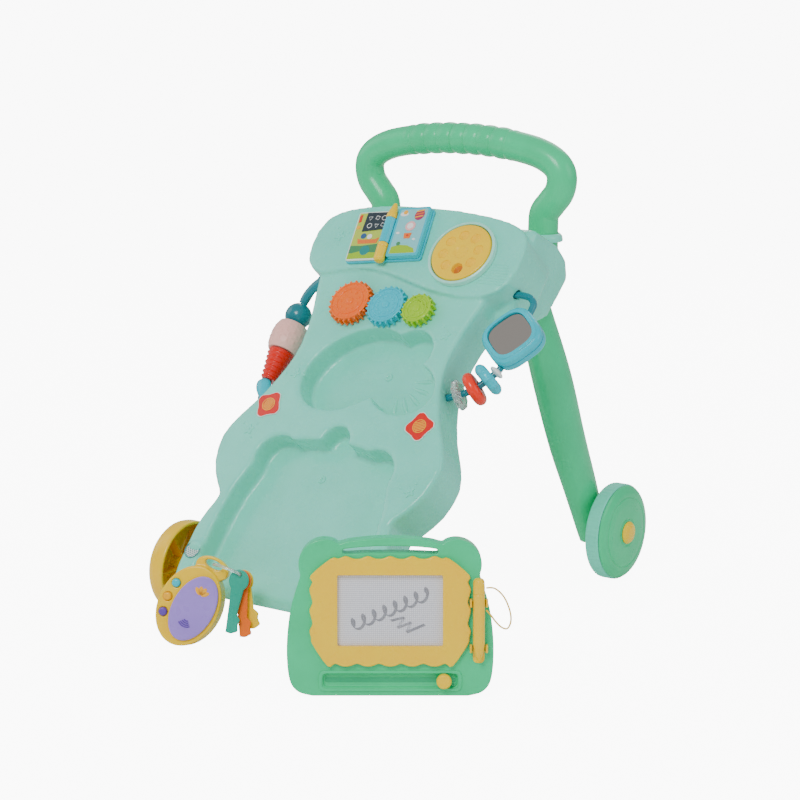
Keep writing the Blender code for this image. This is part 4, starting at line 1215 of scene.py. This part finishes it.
# ---- handle, legs and wheels --------------------------------------------------------------
@dataclass
class Running:
    """The handle, the legs, the axles and the four wheels."""

    tube: float = 0.0155
    handle_y: float = 0.1606
    leg: float = 0.0165
    leg_flatness: float = 1.4
    front_r: float = 0.047
    rear_r: float = 0.051

    def build(self) -> None:
        """Make the handle, legs and wheels."""
        self.handle()
        self.legs()
        for node in ("front_axle", "left_rear_axle", "right_rear_axle"):
            dress(node, STEEL)
        for word, side in (("left", -1), ("right", 1)):
            self.front_wheel(word, side)
            self.rear_wheel(word, side)

    def handle(self) -> None:
        """A bent tube with eight grip ribs in its middle."""
        half = [(0.099, 0.328), (0.099, 0.350), (0.099, 0.380), (0.1005, 0.393), (0.1085, 0.4035),
                (0.1170, 0.4140), (0.1205, 0.4255), (0.1190, 0.4360), (0.1110, 0.4450),
                (0.0960, 0.4525), (0.0760, 0.4575), (0.0450, 0.4620), (0.0150, 0.4640)]
        side = smooth_path(half, 24)
        line = side + [(0.0150 - 0.0006 * i, 0.4640) for i in range(1, 50)]
        line += [(-x, z) for x, z in reversed(side)]
        path = [(x + MIDDLE_X, self.handle_y, z) for x, z in line]
        radii = []
        for x, z in line:
            rib = 0.0
            if abs(x) < 0.066 and z > 0.445:
                fade = min(1.0, (0.066 - abs(x)) / 0.006)
                rib = fade * (0.0024 * abs(math.cos(math.pi * x / 0.0165)) ** 0.45 - 0.0014)
            radii.append(self.tube + rib)
        dense = self.resampled(path, radii)
        place("handle_grip", sweep("handle", dense[0], dense[1], 56), IDENTITY, GREEN, "walker",
              "green", ["handle_bar"], 60.0)
        for word, side_x in (("left", -0.099), ("right", 0.099)):
            collar = lathe("collar", rounded([(0.0160, 0.0), (0.0205, 0.0), (0.0198, 0.0060),
                                              (0.0172, 0.0085), (0.0160, 0.0085)], 0.0016, True),
                           72)
            place(word + "_handle_collar", collar,
                  Matrix.Translation((MIDDLE_X + side_x, self.handle_y, 0.3640)), MINT, "walker",
                  "mint")

    def resampled(self, path: Sequence[Point3], radii: Sequence[float]
                  ) -> tuple[list[Point3], list[float]]:
        """Split every stretch of the path in three, with its radii."""
        points: list[Point3] = []
        sizes: list[float] = []
        for i in range(len(path) - 1):
            for k in range(3):
                t = k / 3
                points.append(tuple(a * (1 - t) + b * t for a, b in zip(path[i], path[i + 1])))
                sizes.append(radii[i] * (1 - t) + radii[i + 1] * t)
        points.append(path[-1])
        sizes.append(radii[-1])
        return points, sizes

    def legs(self) -> None:
        """Two bent legs from the casing to the rear wheels."""
        line = [(0.1030, 0.2605, 0.312), (0.1045, 0.2665, 0.294), (0.1125, 0.2880, 0.225),
                (0.1180, 0.3110, 0.155), (0.1210, 0.3350, 0.100), (0.1222, 0.3500, 0.066),
                (0.1225, 0.3590, 0.048), (0.1225, 0.3615, 0.040)]
        swell = smooth_path([(0.93,), (0.94,), (1.10,), (1.06,), (0.96,), (0.88,), (0.86,),
                             (0.80,)], 8)
        radii = [self.leg * factor for (factor,) in swell]
        shift = self.handle_y - 0.290
        widen = Matrix.Scale(self.leg_flatness, 4, (0.0, 1.0, 0.0))
        for word, side in (("left", -1), ("right", 1)):
            path = [(side * x, y / self.leg_flatness, z) for x, y, z in smooth_path(line, 8)]
            leg = sweep("leg", path, radii, 56)
            leg.transform(widen)
            place(word + "_leg_tube", leg, Matrix.Translation((MIDDLE_X, shift, 0.0)), GREEN,
                  "walker", "green", [word + "_leg"], 60.0)

    def outward(self, name: str, side: int, reach: float) -> Matrix:
        """A wheel's frame, z pointing away from the middle.

        Args:
            name: the wheel's joint.
            side: -1 for left and 1 for right.
            reach: distance of the frame from the walker's middle.

        Returns:
            The frame.
        """
        centre, _ = joint(name)
        origin = Vector((MIDDLE_X + side * reach, centre.y, centre.z))
        return basis(origin, Vector((0, side, 0)), Vector((0, 0, 1)))

    def front_wheel(self, word: str, side: int) -> None:
        """A yellow wheel, hollow on its inner side, with ribs and a hub cap."""
        here = self.outward(word + "_front_spin", side, 0.131)
        body = word + "_front"
        r = self.front_r
        profile = rounded([(0.0044, 0.0255), (0.013, 0.0255), (0.030, 0.0250), (0.041, 0.0215),
                           (0.0455, 0.0165), (r, 0.011), (r, 0.002), (0.0462, 0.0),
                           (0.0435, 0.0), (0.0435, 0.013), (0.038, 0.0185), (0.012, 0.0210),
                           (0.012, 0.001), (0.0044, 0.001)], 0.0016, True)
        place(word + "_front_tyre", lathe("wheel", profile, 128), here, YELLOW, body, "yellow",
              [word + "_front_wheel"], 50.0)
        # The ribs take a darker yellow: painted shade inside the wheel's hollow.
        for k in range(6):
            rib = slab("rib", [(0.0115, -0.0008), (0.0434, -0.0008), (0.0434, 0.0008),
                               (0.0115, 0.0008)], 0.0060, 0.0180)
            place("%s_front_rib_%d" % (word, k), rib,
                  here @ Matrix.Rotation(math.pi * k / 3, 4, "Z"), SHADED_YELLOW, body, "yellow")
        self.cap(word + "_front_hub", here @ Matrix.Translation((0, 0, 0.0258)), ORANGE, body,
                 "orange", word + "_front_hub_cap")

    def rear_wheel(self, word: str, side: int) -> None:
        """A domed green wheel with a soft mint tread and a yellow hub cap."""
        here = self.outward(word + "_rear_spin", side, 0.1425)
        body = word + "_rear"
        profile = rounded([(0.0043, 0.0225), (0.0135, 0.0225), (0.0140, 0.0216), (0.0155, 0.0224),
                           (0.030, 0.0220), (0.0365, 0.0212), (0.0372, 0.0202), (0.0384, 0.0208),
                           (0.042, 0.0203), (0.0475, 0.0182), (0.0500, 0.0158), (0.0405, 0.0158),
                           (0.0405, 0.002), (0.0380, 0.002), (0.0380, 0.0168), (0.012, 0.0195),
                           (0.012, 0.001), (0.0043, 0.001)], 0.0014, True)
        place(word + "_rear_disc", lathe("wheel", profile, 128), here, GREEN, body, "green",
              [word + "_rear_wheel"], 50.0)
        ring = rounded([(0.0410, 0.0153), (0.0500, 0.0153), (self.rear_r, 0.0141),
                        (self.rear_r, 0.0012), (0.0500, 0.0), (0.0410, 0.0)], 0.0010, True)

        def lugs(angle: float, _height: float, radius: float) -> float:
            """Shallow lugs round the running face."""
            return -0.00035 * (0.5 - 0.5 * math.cos(60 * angle)) if radius > 0.0502 else 0.0

        place(word + "_rear_tyre", lathe("tread", ring, 360, lugs), here, TREAD, body, "tread",
              [word + "_rear_tread"], 50.0)
        self.cap(word + "_rear_hub", here @ Matrix.Translation((0, 0, 0.0228)), YELLOW, body,
                 "yellow", word + "_rear_hub_cap")

    def cap(self, name: str, here: Matrix, finish: Plastic, body: str, slot: str,
            node: str) -> None:
        """A domed push-on hub cap with a shallow ring.

        Args:
            name: piece name.
            here: its frame, z outwards.
            finish: its plastic.
            body: its body.
            slot: its material slot.
            node: the CAD node that it replaces.
        """
        profile = rounded([(0.0, 0.0048), (0.0060, 0.0044), (0.0078, 0.0036), (0.0084, 0.0038),
                           (0.0105, 0.0030), (0.0120, 0.0010), (0.0120, 0.0), (0.0, 0.0)], 0.0008)
        place(name, lathe("cap", profile, 72), here, finish, body, slot, [node])


# ---- drawing board ------------------------------------------------------------------------
BOARD_EAR = (0.0587, 0.1185, 0.0231)


@dataclass
class DrawingBoard:
    """The magnetic drawing board that stands in front of the walker."""

    foot: Point3 = (0.1429, -0.2314, 0.0)
    turn: float = math.radians(35.5)
    lean: float = math.radians(6.0)
    thick: float = 0.021

    def build(self) -> None:
        """Make the cord first, then the board and what is on it."""
        up = self.frame()
        self.cord(up)
        self.body(up)
        self.screen(up)
        self.pen(up)
        self.knob(up)

    def frame(self) -> Matrix:
        """The board's frame: x along it, y up it and z out of its face."""
        here = Matrix.Translation(self.foot) @ Matrix.Rotation(self.turn, 4, "Z")
        here = here @ Matrix.Rotation(math.radians(90.0) - self.lean, 4, "X")
        return here @ Matrix.Translation((0.0, self.thick * math.tan(self.lean), 0.0))

    def outline(self) -> list[Point2]:
        """Wide foot, two round ears and a carry handle between them."""
        half = [(0.070, 0.0), (0.083, 0.004), (0.0905, 0.016), (0.0925, 0.045),
                (0.0890, 0.078), (0.0808, 0.106)]
        ear = BOARD_EAR
        for degrees in range(-20, 125, 12):
            angle = math.radians(degrees)
            half.append((ear[0] + ear[2] * math.cos(angle), ear[1] + ear[2] * math.sin(angle)))
        half += [(0.036, 0.1400), (0.018, 0.1420)]
        whole = half + [(0.0, 0.1428)] + [(-x, y) for x, y in reversed(half)]
        return smooth_path(whole, 4)

    def cord(self, up: Matrix) -> None:
        """The thin cord from the pen's top to the board's edge."""
        route = [(0.0852, 0.0990, 0.0060), (0.0930, 0.0985, 0.0062), (0.1010, 0.0910, 0.0066),
                 (0.1062, 0.0790, 0.0068), (0.1072, 0.0690, 0.0066), (0.1040, 0.0625, 0.0064),
                 (0.0985, 0.0640, 0.0062), (0.0935, 0.0690, 0.0062), (0.0895, 0.0745, 0.0062),
                 (0.0855, 0.0790, 0.0062)]
        points = smooth_path(route, 4)
        curve = bpy.data.curves.new("pen_string", "CURVE")
        curve.dimensions = "3D"
        curve.bevel_depth = 0.0008
        curve.bevel_resolution = 4
        curve.use_fill_caps = True
        spline = curve.splines.new("POLY")
        spline.points.add(len(points) - 1)
        for point, spot in zip(spline.points, points):
            point.co = (*(up @ Vector(spot)), 1.0)
        curve.materials.append(CORD.material())
        string = bpy.data.objects.new("pen_string", curve)
        bpy.context.scene.collection.objects.link(string)
        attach(string, "board")
        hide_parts("pen_cord")

    def body(self, up: Matrix) -> None:
        """The green case: carry slot, eraser groove, screen seat and pen bay."""
        case = slab("case", self.outline(), -self.thick, 0.0, 0.0040, 3)
        slot = smooth_path([(-0.041, 0.1285), (-0.020, 0.1292), (0.0, 0.1294), (0.020, 0.1292),
                            (0.041, 0.1285), (0.0425, 0.1305), (0.040, 0.1328), (0.020, 0.1348),
                            (0.0, 0.1354), (-0.020, 0.1348), (-0.040, 0.1328),
                            (-0.0425, 0.1305)], 4, True)
        groove = rounded([(-0.060, 0.0080), (0.060, 0.0080), (0.060, 0.0200), (-0.060, 0.0200)],
                         0.004, True)
        seat = [(-0.050, 0.044), (0.050, 0.044), (0.050, 0.112), (-0.050, 0.112)]
        cutters = [(slab("slot", slot, -0.05, 0.02), IDENTITY),
                   (slab("groove", groove, -0.004, 0.02), IDENTITY),
                   (slab("seat", seat, -0.003, 0.02), IDENTITY)]
        case = softened(carved(case, cutters), 0.0009, 6)
        place("board_case", case, up, GREEN, "board", "green", ["board_body"], 180.0)
        lip = [(-0.064, 0.0045), (0.064, 0.0045), (0.064, 0.0235), (-0.064, 0.0235)]
        ring = slab("lip", rounded(lip, 0.006, True), -0.0002, 0.0012, 0.0006)
        hole = slab("hole", rounded([(x * 0.955, 0.014 + (y - 0.014) * 0.74) for x, y in lip],
                                    0.004, True), -0.01, 0.01)
        place("groove_lip", carved(ring, [(hole, IDENTITY)]), up, GREEN, "board", "green")
        # A darker green strip on the groove floor under the slider: painted shade in the eraser
        # groove.
        rail = slab("rail", rounded([(-0.0585, 0.0120), (0.0585, 0.0120), (0.0585, 0.0160),
                                     (-0.0585, 0.0160)], 0.0018, True), -0.0041, -0.0037)
        place("groove_shade_strip", rail, up, GROOVE_SHADE_GREEN, "board", "green")

    def screen(self, up: Matrix) -> None:
        """The scalloped yellow frame, the film behind it and what is drawn on it."""
        corners = [(-0.0690, -0.0470), (0.0690, -0.0470), (0.0690, 0.0470), (-0.0690, 0.0470)]
        outline = []
        for i, waves in enumerate((7, 5, 7, 5)):
            start = Vector(corners[i])
            end = Vector(corners[(i + 1) % 4])
            along = (end - start).normalized()
            out = Vector((along.y, -along.x))
            steps = waves * 12
            for step in range(8, steps - 7):
                t = step / steps
                swell = 0.0030 * (0.5 - 0.5 * math.cos(2 * math.pi * waves * t))
                spot = start.lerp(end, t) + out * swell
                outline.append((spot.x, spot.y + 0.0770))
        rim = slab("frame", smooth_path(outline[::4], 3, True), 0.0003, 0.0042, 0.0012, 4)
        window = slab("window", rounded([(-0.047, 0.046), (0.047, 0.046), (0.047, 0.110),
                                         (-0.047, 0.110)], 0.0015, True), -0.01, 0.02)
        rim = carved(rim, [(window, IDENTITY)])
        place("screen_frame", rim, up, YELLOW, "board", "yellow", ["board_frame"])
        film = slab("film", [(-0.0495, 0.0445), (0.0495, 0.0445), (0.0495, 0.1115),
                             (-0.0495, 0.1115)], -0.0027, 0.0)
        place("screen_film", film, up, SCREEN, "board", "screen", ["drawing_screen"])
        self.doodle(up)

    def doodle(self, up: Matrix) -> None:
        """A child's drawing in grey: a row of loops and a zigzag under it."""
        loops = []
        for i in range(120):
            t = i / 119
            angle = 2 * math.pi * 7.5 * t
            x = -0.036 + 0.070 * t + 0.0032 * math.cos(angle)
            y = 0.064 + 0.030 * t + 0.0056 * math.sin(angle)
            loops.append((x, y, 0.0002))
        zigzag = [(0.000, 0.0690, 0.0002), (0.012, 0.0720, 0.0002), (0.006, 0.0625, 0.0002),
                  (0.018, 0.0675, 0.0002), (0.014, 0.0585, 0.0002), (0.030, 0.0655, 0.0002)]
        for k in range(3):
            shift = Matrix.Translation((0.0007 * k, -0.0006 * k, 0.00002 * k))
            for word, path in (("loops", loops), ("zigzag", zigzag)):
                line = sweep("line", path, 0.00032, 8, 0.5, Vector((0, 0, 1)))
                place("doodle_%s_%d" % (word, k), line, up @ shift, PENCIL_GREY, "board",
                      "screen")

    def pen(self, up: Matrix) -> None:
        """The yellow pen in its two clips."""
        here = up @ Matrix.Translation((0.0790, 0.0, 0.0060)) @ Matrix.Rotation(
            math.radians(-90.0), 4, "X")
        profile = rounded([(0.0, 0.1080), (0.0040, 0.1060), (0.0052, 0.1010), (0.0052, 0.0940),
                           (0.0046, 0.0932), (0.0052, 0.0924), (0.0052, 0.0480),
                           (0.0040, 0.0400), (0.0014, 0.0330), (0.0, 0.0325)], 0.0014)
        place("board_pen", lathe("pen", profile, 64), here, YELLOW, "pen_body", "yellow", ["pen"])
        bay = rounded([(0.0738, 0.0300), (0.0842, 0.0300), (0.0842, 0.1070), (0.0738, 0.1070)],
                      0.005, True)
        place("pen_bay", slab("bay", bay, -0.0002, 0.0006, 0.0004), up, YELLOW, "board", "yellow")
        for k, y in enumerate((0.0440, 0.0850)):
            for side in (-1, 1):
                path = [(0.0790 + side * 0.0070, y - 0.0035, 0.0035),
                        (0.0790 + side * 0.0070, y + 0.0035, 0.0035)]
                clip = sweep("clip", path, 0.0034, 20, 0.36, Vector((1, 0, 0)))
                place("pen_clip_%d_%s" % (k, "left" if side < 0 else "right"), clip, up, YELLOW,
                      "board", "yellow")

    def knob(self, up: Matrix) -> None:
        """The eraser's knob in its groove."""
        here = up @ Matrix.Translation((0.0480, 0.0140, 0.0))
        profile = rounded([(0.0, 0.0062), (0.0035, 0.0064), (0.0056, 0.0066), (0.0068, 0.0048),
                           (0.0068, 0.0006), (0.0040, 0.0004), (0.0040, -0.0036),
                           (0.0, -0.0036)], 0.0010)
        place("eraser_slider", lathe("knob", profile, 56), here, YELLOW, "eraser", "yellow",
              ["eraser_knob"])


# ---- key fob ------------------------------------------------------------------------------
@dataclass
class KeyFob:
    """The toy car key: fob, buttons, clear link and three keys."""

    foot: Point3 = (-0.0971, -0.2264, 0.0)
    turn: float = math.radians(28.0)
    lean: float = math.radians(16.0)
    roll: float = math.radians(-24.0)
    hinge: Point3 = (0.0480, 0.0735, 0.0020)

    def build(self) -> None:
        """Make the fob, its buttons, the link and the keys."""
        stand = Matrix.Translation(self.foot) @ Matrix.Rotation(self.turn, 4, "Z")
        stand = stand @ Matrix.Rotation(math.radians(90.0) - self.lean, 4, "X")
        tilted = stand @ Matrix.Translation((0.0, 0.0447, 0.0)) @ Matrix.Rotation(
            self.roll, 4, "Z")
        place("fob_case", softened(frame["nodes"]["fob_body"].data, 0.0008, 10), IDENTITY, YELLOW,
              "fob", "yellow", ["fob_body"], 180.0)
        inlay = slab("inlay", ring_points(0.0205, 72, (0.0060, -0.003), 0.0330 / 0.0205,
                                          math.radians(-4.0)), 0.0103, 0.0130, 0.0012, 4)
        place("fob_panel", inlay, tilted, PURPLE, "fob", "purple", ["fob_inlay"])
        self.badge(tilted)
        cap = rounded([(0.0, 0.0030), (0.0030, 0.0028), (0.0042, 0.0012), (0.0042, -0.0012),
                       (0.0, -0.0012)], 0.0010)
        buttons = {"cyan": (-0.0200, 0.0115, CYAN), "yellow": (-0.0218, -0.0035, SHADED_YELLOW),
                   "purple": (-0.0195, -0.0185, DEEP_PURPLE)}
        for word, (x, y, finish) in buttons.items():
            here = tilted @ Matrix.Translation((x, y, 0.0100))
            place(word + "_key_button", lathe("button", cap, 40), here, finish, word + "_button",
                  word, ["fob_%s_button" % word])
        self.link(stand)
        self.keys(stand)

    def badge(self, tilted: Matrix) -> None:
        """A small yellow leaf print and sound slits on the panel."""
        top = 0.0130
        for k, turn in enumerate((-0.9, -0.3, 0.3, 0.9)):
            petal = slab("petal", ring_points(0.0021, 20, (0.0, 0.0048), 2.0), top - 0.0001,
                         top + 0.0004)
            place("fob_print_%d" % k, petal, tilted @ Matrix.Translation((0.0070, 0.0110, 0.0))
                  @ Matrix.Rotation(turn, 4, "Z"), Ink.GOLD.finish(), "fob", "purple")
        for k in range(4):
            width = 0.0030 + 0.0019 * k
            arc = [(width * math.sin(a), -0.0135 - width * math.cos(a), top)
                   for a in [math.radians(-42 + 7 * i) for i in range(13)]]
            slit = sweep("slit", arc, 0.0007, 8)
            place("fob_slit_%d" % k, slit, tilted @ Matrix.Translation((0.0050, 0.0, 0.0)),
                  DEEP_PURPLE, "fob", "purple")

    def link(self, stand: Matrix) -> None:
        """The clear hook between the fob's loop and the keys."""
        x, y, _ = self.hinge
        route = [(0.0209, 0.0820, -0.0095), (0.0209, 0.0820, 0.0030), (0.0236, 0.0818, 0.0105),
                 (0.0320, 0.0800, 0.0150), (0.0445, 0.0757, 0.0158), (x, y, 0.0142),
                 (x, y, 0.0100), (x, y, 0.0), (x, y, -0.0090)]
        place("key_hook", sweep("hook", smooth_path(route, 6), 0.0015, 20), stand, CLEAR, "fob",
              "clear", ["key_link"], 60.0)

    def keys(self, stand: Matrix) -> None:
        """Three flat keys with round heads, each with a hole."""
        x, y, z = self.hinge
        shapes = {"teal": (0.0080, -8.0, KEY_TEAL, 0.0560), "orange": (0.0020, 5.0, ORANGE, 0.0590),
                  "yellow": (-0.0040, 14.0, YELLOW, 0.0520)}
        for word, (offset, swing, finish, length) in shapes.items():
            here = (stand @ Matrix.Translation((x, y, z + offset))
                    @ Matrix.Rotation(math.radians(swing), 4, "Z"))
            head = [(0.0095 * math.cos(math.radians(a)),
                     -0.006 + 0.0105 * math.sin(math.radians(a))) for a in range(-50, 231, 10)]
            shaft = [(-0.0040, -length), (0.0010, -length - 0.001), (0.0075, -length + 0.002),
                     (0.0060, -length + 0.008), (0.0080, -length + 0.013),
                     (0.0040, -length + 0.018)]
            blade = slab("key", head + rounded(shaft, 0.0018), -0.0018, 0.0018, 0.0008, 3)
            eye = slab("eye", ring_points(0.0021, 28), -0.01, 0.01)
            place(word + "_play_key", carved(blade, [(eye, IDENTITY)]), here, finish,
                  word + "_key_body", word, [word + "_key"])


# ---- camera, light and floor --------------------------------------------------------------
@dataclass
class Studio:
    """A pale sweep of floor, soft lights and the camera."""

    eye: Point3 = (1.2649, -1.7894, 0.656)
    target: Point3 = (-0.0161, 0.0066, 0.215)
    lens: float = 101.25
    lights: tuple[tuple[str, Point3, float, float], ...] = (
        ("key_light", (0.35, -1.9, 1.9), 0.9, 36.0),
        ("fill_light", (2.1, 0.4, 1.3), 1.4, 10.0),
        ("left_light", (-2.0, -0.6, 1.4), 1.4, 8.0),
        ("back_light", (-0.6, 1.9, 1.7), 1.4, 12.0))
    sky_light: float = 0.55
    sky_seen: float = 14.0
    floor_seen: float = 9.0
    floor_half: float = 60.0

    def build(self) -> None:
        """Set up the camera, the lights and the floor."""
        camera = bpy.data.cameras.new("camera")
        camera.lens = self.lens
        camera.sensor_width = 36.0
        holder = bpy.data.objects.new("camera", camera)
        bpy.context.scene.collection.objects.link(holder)
        look = Vector(self.target) - Vector(self.eye)
        holder.matrix_world = (Matrix.Translation(self.eye)
                               @ look.to_track_quat("-Z", "Y").to_matrix().to_4x4())
        bpy.context.scene.camera = holder
        for name, spot, size, watts in self.lights:
            self.light(name, spot, size, watts)
        world = bpy.data.worlds.new("studio")
        bpy.context.scene.world = world
        world.use_nodes = True
        sky = world.node_tree.nodes["Background"]
        sky.inputs["Color"].default_value = linear("#FFFFFF")
        world.node_tree.links.new(seen_glow(world.node_tree, self.sky_light, self.sky_seen),
                                  sky.inputs["Strength"])
        self.floor()

    def light(self, name: str, spot: Point3, size: float, watts: float) -> None:
        """One soft square light aimed at the walker.

        Args:
            name: light name.
            spot: its place.
            size: side of the square.
            watts: its power.
        """
        lamp = bpy.data.lights.new(name, "AREA")
        lamp.size = size
        lamp.energy = watts
        holder = bpy.data.objects.new(name, lamp)
        bpy.context.scene.collection.objects.link(holder)
        look = Vector((0.0, 0.0, 0.2)) - Vector(spot)
        holder.matrix_world = (Matrix.Translation(spot)
                               @ look.to_track_quat("-Z", "Y").to_matrix().to_4x4())

    def floor(self) -> None:
        """A wide white sheet of paper."""
        work = bmesh.new()
        bmesh.ops.create_grid(work, x_segments=8, y_segments=8, size=self.floor_half)
        mesh = bpy.data.meshes.new("floor")
        work.to_mesh(mesh)
        work.free()
        paper = bpy.data.materials.new("floor_paper")
        paper.use_nodes = True
        shader = paper.node_tree.nodes["Principled BSDF"]
        shader.inputs["Base Color"].default_value = linear("#FBFBFA")
        shader.inputs["Roughness"].default_value = 0.8
        shader.inputs["Emission Color"].default_value = linear("#FFFFFF")
        paper.node_tree.links.new(seen_glow(paper.node_tree, 0.0, self.floor_seen),
                                  shader.inputs["Emission Strength"])
        mesh.materials.append(paper)
        sheet = bpy.data.objects.new("floor", mesh)
        bpy.context.scene.collection.objects.link(sheet)


def main() -> None:
    """Build the scene."""
    logging.basicConfig(level=logging.INFO, format="%(message)s")
    Studio().build()
    DrawingBoard().build()
    Casing().build()
    Gears().build()
    Dial().build()
    PlayBook().build()
    Columns().build()
    Running().build()
    KeyFob().build()


if __name__ == "__main__":
    main()
